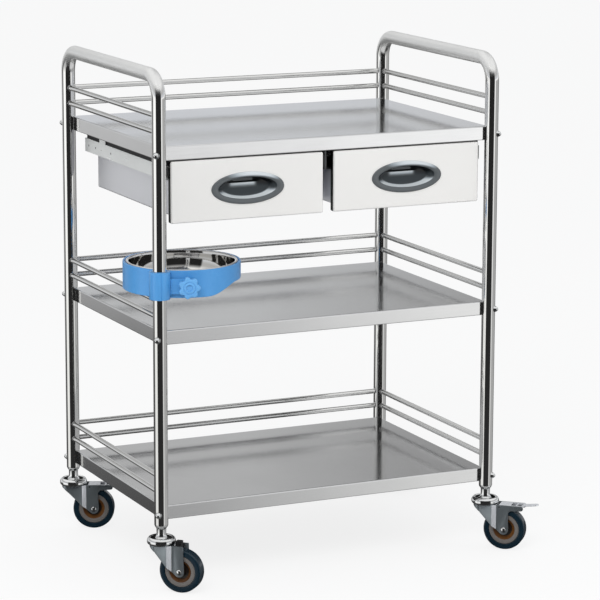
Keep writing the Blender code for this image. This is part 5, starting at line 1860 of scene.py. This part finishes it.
    def cheeks(self) -> bpy.types.Object:
        """Both cheeks and the closed nose, bent from one strip, with a painted highlight along the joggle.

        Returns:
            The piece, about the kingpin.
        """
        middle = self.half_gap + self.sheet / 2.0
        reach = self.trail + self.horn_reach + self.cheek_end
        joggle = self.joggle_start - self.joggle_length
        flank = [(reach, middle)] + [(self.joggle_start - share * self.joggle_length,
                                      middle + self.joggle_width * share) for share in (0.0, 1.0)]
        nose = arc((-self.nose_setback, 0.0), self.nose_radius + self.sheet / 2.0, 74.0, 286.0, 24)
        plan = flank + nose + [(x, -y) for x, y in reversed(flank)]
        low, high = self.wheel_radius - 2.0 * self.cheek_end, self.crown_bottom + self.sheet
        bm = loft(stacked(plan, (low, high)), caps=(False, False), ring=False)
        bmesh.ops.recalc_face_normals(bm, faces=bm.faces)
        cheeks = thicken(link("cheeks", as_mesh(bm, "cheeks")), self.sheet, 0.0, False)
        outline = self.side_outline()
        tool = loft([[(x, y, z) for x, z in outline] for y in (-2.0 * middle, 2.0 * middle)])
        cut(cheeks, tool, "INTERSECT")
        dress(soften(cheeks, 0.35 * MM, 50.0), Finishes.ZINC)
        half = self.joggle_length / 2.0
        # Painted highlight: the joggle gets the lighter plate finish.
        paint(cheeks, Finishes.PLATE,
              lambda face: (abs(face.center.x - joggle - half) < half
                            and abs(face.normal.x) > 0.3 and abs(face.normal.z) < 0.5))
        return cheeks

    def crown(self) -> bpy.types.Object:
        """The pressed bearing housing, with its lower cup and its well painted black as painted shade.

        Returns:
            The piece, about the kingpin.
        """
        r, well, low, top = self.crown_radius, self.well_radius, self.crown_bottom, self.crown_top
        tall, floor = top - low, self.well_floor
        profile = [(0.0, floor), (well - 2.0 * MM, floor), (well, floor + 0.6 * MM),
                   (well + 1.2 * MM, floor + 2.4 * MM), (well + 2.2 * MM, floor + 4.4 * MM),
                   (well + 3.2 * MM, top - 1.3 * MM), (well + 4.0 * MM, top - 0.5 * MM)]
        profile += [(r - 5.0 * MM + 5.0 * MM * math.sin(t), low + 0.42 * tall + 0.58 * tall * math.cos(t))
                    for t in (math.radians(11.0 * i) for i in range(10))]
        profile += [(r, low + 0.36 * tall), (r - 0.8 * MM, low + 0.18 * tall), (r - 3.0 * MM, low + 0.5 * MM),
                    (r - 5.0 * MM, low), (0.0, low)]
        crown = solid("crown", turned(profile, 72), Finishes.BRIGHT)
        edge, base = well + 3.0 * MM, low + 1.0 * MM
        # Painted shade: the well is painted black.
        paint(crown, Finishes.DARK, lambda face: off_axis(face) < edge and face.center.z > base)
        return crown

    def rivets(self) -> bpy.types.Object:
        """The domed heads of the axle and of the pedal's pin.

        Returns:
            The piece, about the kingpin.
        """
        face = self.half_gap + self.sheet
        spots = [(self.trail, self.wheel_radius, self.rivet_size)]
        if self.pedal is not Pedal.NONE:
            spots.append((self.pin_distance, self.crown_bottom + self.sheet - self.pin_drop, self.pin_size))
        parts = []
        for i, (x, z, (size, height)) in enumerate(spots):
            places = [((x, sign * face, z), (0.0, sign, 0.0)) for sign in (-1.0, 1.0)]
            parts.append(domed_heads(f"heads_{i}", places, 0.86 * size, height, size, 0.8 * MM,
                                     Finishes.BRIGHT))
        axle = [(self.trail, sign * face, self.wheel_radius) for sign in (-1.0, 1.0)]
        parts.append(solid("axle", sweep(axle, self.axle_radius, 24), Finishes.BRIGHT))
        return joined("rivets", parts)

    def stem(self) -> bpy.types.Object:
        """The plug in the post, its collar, the stem and its hexagon nut.

        Returns:
            The piece, about the kingpin.
        """
        tube, floor = self.plan.tube_radius, self.well_floor + FIT_GAP
        seat = self.post_foot - FIT_GAP
        bore = tube - 1.5 * MM
        plug = seat + self.plug_length
        profile = [(0.0, plug), (bore - 1.0 * MM, plug), (bore, plug - 1.0 * MM),
                   (bore, seat), (tube - 0.6 * MM, seat), (tube - 0.3 * MM, seat - 0.5 * MM),
                   (tube - 0.9 * MM, seat - 1.8 * MM), (tube - 2.3 * MM, seat - 3.4 * MM),
                   (9.4 * MM, seat - 4.6 * MM), (8.9 * MM, seat - 5.8 * MM), (8.7 * MM, seat - 7.4 * MM),
                   (8.7 * MM, floor + 13.0 * MM), (9.0 * MM, floor + 10.4 * MM), (9.8 * MM, floor + 7.8 * MM),
                   (11.0 * MM, floor + 5.8 * MM), (11.6 * MM, floor + 4.8 * MM),
                   (11.6 * MM, floor + 1.6 * MM), (14.4 * MM, floor + 1.2 * MM),
                   (14.6 * MM, floor + 0.6 * MM), (14.2 * MM, floor), (0.0, floor)]
        body = solid("stem", turned(profile, 64), Finishes.BRIGHT)
        corners = [(self.nut_radius * math.cos(t), self.nut_radius * math.sin(t)) for t in
                   (math.radians(60.0 * i + 20.0) for i in range(6))]
        shape = loft(stacked(corners, (floor + 1.0 * MM, floor + 5.0 * MM)))
        nut = soften(link("nut", close_mesh(shape, "nut")), 0.8 * MM)
        return joined("stem", [body, dress(smooth(nut), Finishes.BRIGHT)])

    def build(self) -> None:
        """Builds the caster's pieces on their bodies."""
        swivel, wheel = f"swivel_{self.label}", f"wheel_{self.label}"
        fork = joined(f"caster_fork_{self.label}", [self.cheeks(), self.crown(), self.rivets()])
        stem = self.stem()
        stem.name = f"caster_stem_{self.label}"
        plain = Matrix.Translation(self.plan.post(self.side, self.end))
        mount(set_place(smooth(fork), self.place()), swivel, (f"fork_{self.label}",))
        mount(set_place(smooth(stem), plain), "frame", (f"stem_{self.label}",))
        mount(set_place(self.tyre(), self.at_axle()), wheel, (f"tyre_{self.label}",))
        mount(set_place(self.hub(), self.at_axle()), wheel, (f"hub_{self.label}",))
        if self.pedal is not Pedal.NONE:
            node = f"pedal_{self.label}"
            plate = dress(refined(node, f"brake_{self.label}", 0.3 * MM), Finishes.PLATE)
            mount(smooth(plate, FLAT_ANGLE), node, (node,))
        elif self.side is Side.LEFT:
            node = f"rubber_block_{self.label}"
            block = dress(refined(node, f"stop_block_{self.label}", 0.7 * MM), Finishes.BLOCK)
            mount(smooth(block, FLAT_ANGLE), swivel, (node,))


@dataclass
class BowlHolder:
    """The moulded ring clamped to the front left post, its knob and the bowl."""

    plan: Plan
    direction: float = 48.4
    bottom: float = 531.0 * MM
    height: float = 49.0 * MM
    low_height: float = 31.0 * MM
    deep_middle: float = -17.0
    deep_half: float = 62.0
    ease_angle: float = 40.0
    ring_radius: float = 106.0 * MM
    ring_wall: float = 4.0 * MM
    ring_edge: float = 1.1 * MM
    ring_distance: float = 119.1 * MM
    ledge_width: float = 4.2 * MM
    ledge_drop: float = 3.0 * MM
    clamp_wall: float = 6.4 * MM
    groove_angles: tuple[float, ...] = (208.7, 155.0)
    flange_gap: float = 3.0 * MM
    flange_sheet: float = 4.5 * MM
    flange_height: float = 27.0 * MM
    flange_span: tuple[float, float] = (187.0, 211.0)
    knob_angle: float = 205.0
    knob_rise: float = 22.0 * MM
    knob_radius: float = 20.0 * MM
    knob_waist: float = 15.5 * MM
    knob_lobes: int = 7
    knob_thickness: float = 11.0 * MM
    neck_radius: float = 9.0 * MM
    screw_radius: float = 2.9 * MM
    bowl_rim: float = 100.5 * MM
    bowl_mouth: float = 96.6 * MM
    bowl_depth: float = 50.5 * MM
    bowl_base: float = 42.0 * MM
    bowl_curve: float = 0.42
    bowl_roll: float = 3.4 * MM
    bowl_sheet: float = 1.0 * MM
    steps: int = 180

    def place(self) -> Matrix:
        """Turns a shape made about the post, ring along +X, to its place."""
        foot = self.plan.post(Side.LEFT, End.FRONT)
        return Matrix.Translation(foot) @ Matrix.Rotation(math.radians(self.direction), 4, "Z")

    def band_bottom(self, angle: float) -> float:
        """Height of the band's lower edge.

        Args:
            angle: Angle about the ring in degrees.

        Returns:
            The height above the floor.
        """
        off = abs((angle - 180.0 - self.deep_middle + 180.0) % 360.0 - 180.0)
        share = ease((off - self.deep_half) / self.ease_angle)
        return self.bottom + share * (self.height - self.low_height)

    def circle(self, radius: float, height: float, on_edge: bool = False) -> Loop:
        """Points round the ring.

        Args:
            radius: Distance from the ring's axis.
            height: Height above the floor, or above the band's lower edge.
            on_edge: Whether the height counts from the lower edge.

        Returns:
            The points.
        """
        points = []
        for i in range(self.steps):
            angle = 360.0 * i / self.steps
            turn = math.radians(angle)
            z = height + self.band_bottom(angle) if on_edge else height
            points.append((self.ring_distance + radius * math.cos(turn), radius * math.sin(turn), z))
        return points

    def ring(self) -> bpy.types.Object:
        """The band with rounded edges and its inner ledge.

        Returns:
            The piece, about the post.
        """
        outer, inner = self.ring_radius, self.ring_radius - self.ring_wall
        top, ledge = self.bottom + self.height, inner - self.ledge_width
        shelf = top - self.ledge_drop
        folds = fold_steps(self.ring_edge, 4)
        upper = [(inner + b, top - a) for a, b in folds] + [(outer - a, top - b) for a, b in folds]
        upper.append((outer, top - 2.0 * self.ring_edge))
        lower = [(outer, 2.0 * self.ring_edge)] + [(outer - b, a) for a, b in folds]
        lower += [(inner + 0.4 * MM, 0.0), (inner, 0.6 * MM)]
        within = [(inner, shelf - 6.8 * MM), (ledge, shelf - 2.6 * MM), (ledge, shelf), (inner, shelf)]
        loops = [self.circle(*point) for point in upper] + [self.circle(*point, True) for point in lower]
        loops += [self.circle(*point) for point in within]
        return link("ring", close_mesh(loft(loops, caps=(False, False), closed=True), "ring"))

    def sector(self, radii: tuple[float, float], angles: tuple[float, float],
               levels: tuple[float, float]) -> bmesh.types.BMesh:
        """A block that follows the ring.

        Args:
            radii: Its inner and outer radius.
            angles: Where it starts and ends, in degrees about the ring.
            levels: Its lowest and highest height.

        Returns:
            The block.
        """
        centre = (self.ring_distance, 0.0)
        outline = arc(centre, radii[0], *angles, 14) + arc(centre, radii[1], *reversed(angles), 14)
        return loft(stacked(outline, levels))

    def holder(self) -> bpy.types.Object:
        """The ring with its clamp, slot and flange.

        Returns:
            The piece.
        """
        low, high = self.bottom, self.bottom + self.height
        boss = self.plan.tube_radius + self.clamp_wall
        clamp = link("clamp", close_mesh(sweep([(0, 0, low), (0, 0, high)], boss, 72), "clamp"))
        soften(clamp, 0.9 * MM, 60.0, 3)
        inside = self.ring_radius - self.ring_wall / 2.0
        axis = [(self.ring_distance, 0, z) for z in (low - boss, high + boss)]
        cut(clamp, sweep(axis, inside, 144))
        ring = self.ring()
        for angle in self.groove_angles:
            cut(clamp, self.groove(angle))
        tool = bmesh.new()
        tool.from_mesh(clamp.data)
        bpy.data.objects.remove(clamp, do_unlink=True)
        cut(ring, tool, "UNION")
        gap, slot = self.flange_gap, self.ring_radius + self.flange_gap
        first, last = self.flange_span
        middle, half = self.bottom + self.knob_rise, self.flange_height / 2.0
        cut(ring, self.sector((self.ring_radius, slot), (first - 1.0, last + 4.0), (low - gap, high + gap)))
        cut(ring, self.sector((slot, slot + self.flange_sheet), (first - 1.0, last),
                              (middle - half, middle + half)), "UNION")
        cut(ring, sweep([(0, 0, low - boss), (0, 0, high + boss)], self.plan.tube_radius + FIT_GAP, 72))
        ring.name = "bowl_ring"
        return dress(smooth(soften(ring, 0.35 * MM, 48.0)), Finishes.HOLDER)

    def groove(self, angle: float) -> bmesh.types.BMesh:
        """The tool for a narrow groove down the clamp's outer side.

        Args:
            angle: Where it is about the post, in degrees.

        Returns:
            The tool.
        """
        boss = self.plan.tube_radius + self.clamp_wall
        turn = math.radians(angle)
        x, y = boss * math.cos(turn), boss * math.sin(turn)
        ends = (self.bottom - 2.0 * MM, self.bottom + self.height + 2.0 * MM)
        return sweep([(x, y, z) for z in ends], 1.0 * MM, 16)

    def knob(self) -> bpy.types.Object:
        """The star knob on its collar and screw, about the screw's axis.

        Returns:
            The piece.
        """
        seat = self.flange_gap + self.flange_sheet + FIT_GAP
        collar = seat + 7.0 * MM
        front = collar + self.knob_thickness
        turns = around(self.knob_lobes * 20)
        outline = []
        for turn in turns:
            wave = (0.5 + 0.5 * math.cos(self.knob_lobes * turn)) ** 0.75
            radius = self.knob_waist + (self.knob_radius - self.knob_waist) * wave
            outline.append((radius * math.cos(turn), radius * math.sin(turn)))
        levels = [(0.86, collar), (0.95, collar + 0.5 * MM), (0.99, collar + 1.4 * MM),
                  (1.0, collar + 2.6 * MM), (1.0, front - 2.6 * MM), (0.985, front - 1.3 * MM),
                  (0.94, front - 0.4 * MM), (0.88, front)]
        loops = [[(share * x, share * y, z) for x, y in outline] for share, z in levels]
        dial = [(11.6, 0.0), (11.0, -0.8), (10.2, -0.9), (9.6, 0.0), (9.0, 0.5), (6.6, 0.5), (6.0, -0.4),
                (5.4, -2.2), (0.02, -2.5)]
        for radius, rise in dial:
            loops.append([(radius * MM * math.cos(t), radius * MM * math.sin(t), front + rise * MM)
                          for t in turns])
        star = dress(smooth(link("star", close_mesh(loft(loops), "star", 5e-5))), Finishes.KNOB)
        neck = sweep([(0, 0, seat), (0, 0, collar + 1.0 * MM)], self.neck_radius, 40)
        screw = sweep([(0, 0, -self.ring_wall - 1.0 * MM), (0, 0, seat + 1.0 * MM)], self.screw_radius, 24)
        knob = joined("star_knob", [star, solid("neck", neck, Finishes.KNOB),
                                    solid("screw", screw, Finishes.BRIGHT)])
        turn = math.radians(self.knob_angle)
        outward = Vector((math.cos(turn), math.sin(turn), 0.0))
        base = Vector((self.ring_distance, 0.0, self.bottom + self.knob_rise)) + outward * self.ring_radius
        upright = Vector((0.0, 0.0, 1.0))
        stand = Matrix((upright.cross(outward), upright, outward)).transposed().to_4x4()
        return set_place(knob, self.place() @ Matrix.Translation(base) @ stand)

    def bowl(self) -> bpy.types.Object:
        """The spun steel bowl with a rolled rim.

        Returns:
            The piece.
        """
        top = self.bottom + self.height - self.ledge_drop + FIT_GAP + self.bowl_roll
        wall, low = top - self.bowl_roll, top - self.bowl_depth
        turns = [math.radians(5.0 * i) for i in range(1, 19)]
        curve = [(self.bowl_base + (self.bowl_mouth - self.bowl_base) * math.cos(t) ** self.bowl_curve,
                  wall - (wall - low) * math.sin(t)) for t in turns]
        sheet, rim, mouth = self.bowl_sheet, self.bowl_rim, self.bowl_mouth
        roll = [(rim, wall + 0.2 * MM), (rim, top - 1.2 * MM), (rim - 0.4 * MM, top - 0.4 * MM),
                (rim - 1.3 * MM, top), (mouth + 0.8 * MM, top), (mouth - 0.4 * MM, top - 0.5 * MM),
                (mouth - sheet, top - 1.6 * MM)]
        inner = [(r - sheet, z + 0.4 * sheet) for r, z in curve[:-1]]
        inner += [(curve[-1][0] - sheet, low + sheet), (0.0, low + sheet)]
        section = [(0.0, low)] + curve[::-1] + [(mouth, wall), (rim - 0.3 * MM, wall)] + roll + inner
        bowl = solid("steel_bowl", turned(section, 160), Finishes.BOWL)
        return set_place(bowl, self.place() @ Matrix.Translation((self.ring_distance, 0.0, 0.0)))

    def build(self) -> None:
        """Builds holder, knob and bowl on their bodies."""
        holder = set_place(self.holder(), self.place())
        mount(holder, "bowl_holder", ("bowl_holder",))
        mount(self.knob(), "clamp_knob", ("clamp_knob",))
        mount(self.bowl(), "bowl", ("bowl",))


# The trolley as a whole


def dress_hanger(frame: dict) -> None:
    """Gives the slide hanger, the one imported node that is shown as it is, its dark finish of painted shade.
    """
    for slot in frame["nodes"]["slide_hanger"].material_slots:
        slot.material = Finishes.get(Finishes.SHADED)


SHELF_TOPS = {Shelf.BOTTOM: 153.0 * MM, Shelf.MIDDLE: 472.0 * MM, Shelf.TOP: 800.0 * MM}
CASTERS = ((Side.LEFT, End.FRONT, -44.0, Pedal.NONE), (Side.LEFT, End.BACK, -24.0, Pedal.SHORT),
           (Side.RIGHT, End.FRONT, -42.0, Pedal.WITH_TAB), (Side.RIGHT, End.BACK, -20.0, Pedal.NONE))


def main() -> None:
    """Builds the dressed trolley and its studio."""
    logging.basicConfig(level=logging.INFO, format="%(name)s: %(message)s")
    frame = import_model()
    plan = Plan.read()
    Studio(plan).build()
    for side in Side:
        SideFrame(plan, side).build()
    for shelf, top in SHELF_TOPS.items():
        GuardRails(plan, shelf, top).build()
        ShelfTray(plan, shelf, top).build()
    for side in Side:
        Drawer(plan, side).build()
        Slides(side).build()
    for side, end, angle, pedal in CASTERS:
        Caster(plan, side, end, angle, pedal).build()
    BowlHolder(plan).build()
    dress_hanger(frame)


if __name__ == "__main__":
    main()
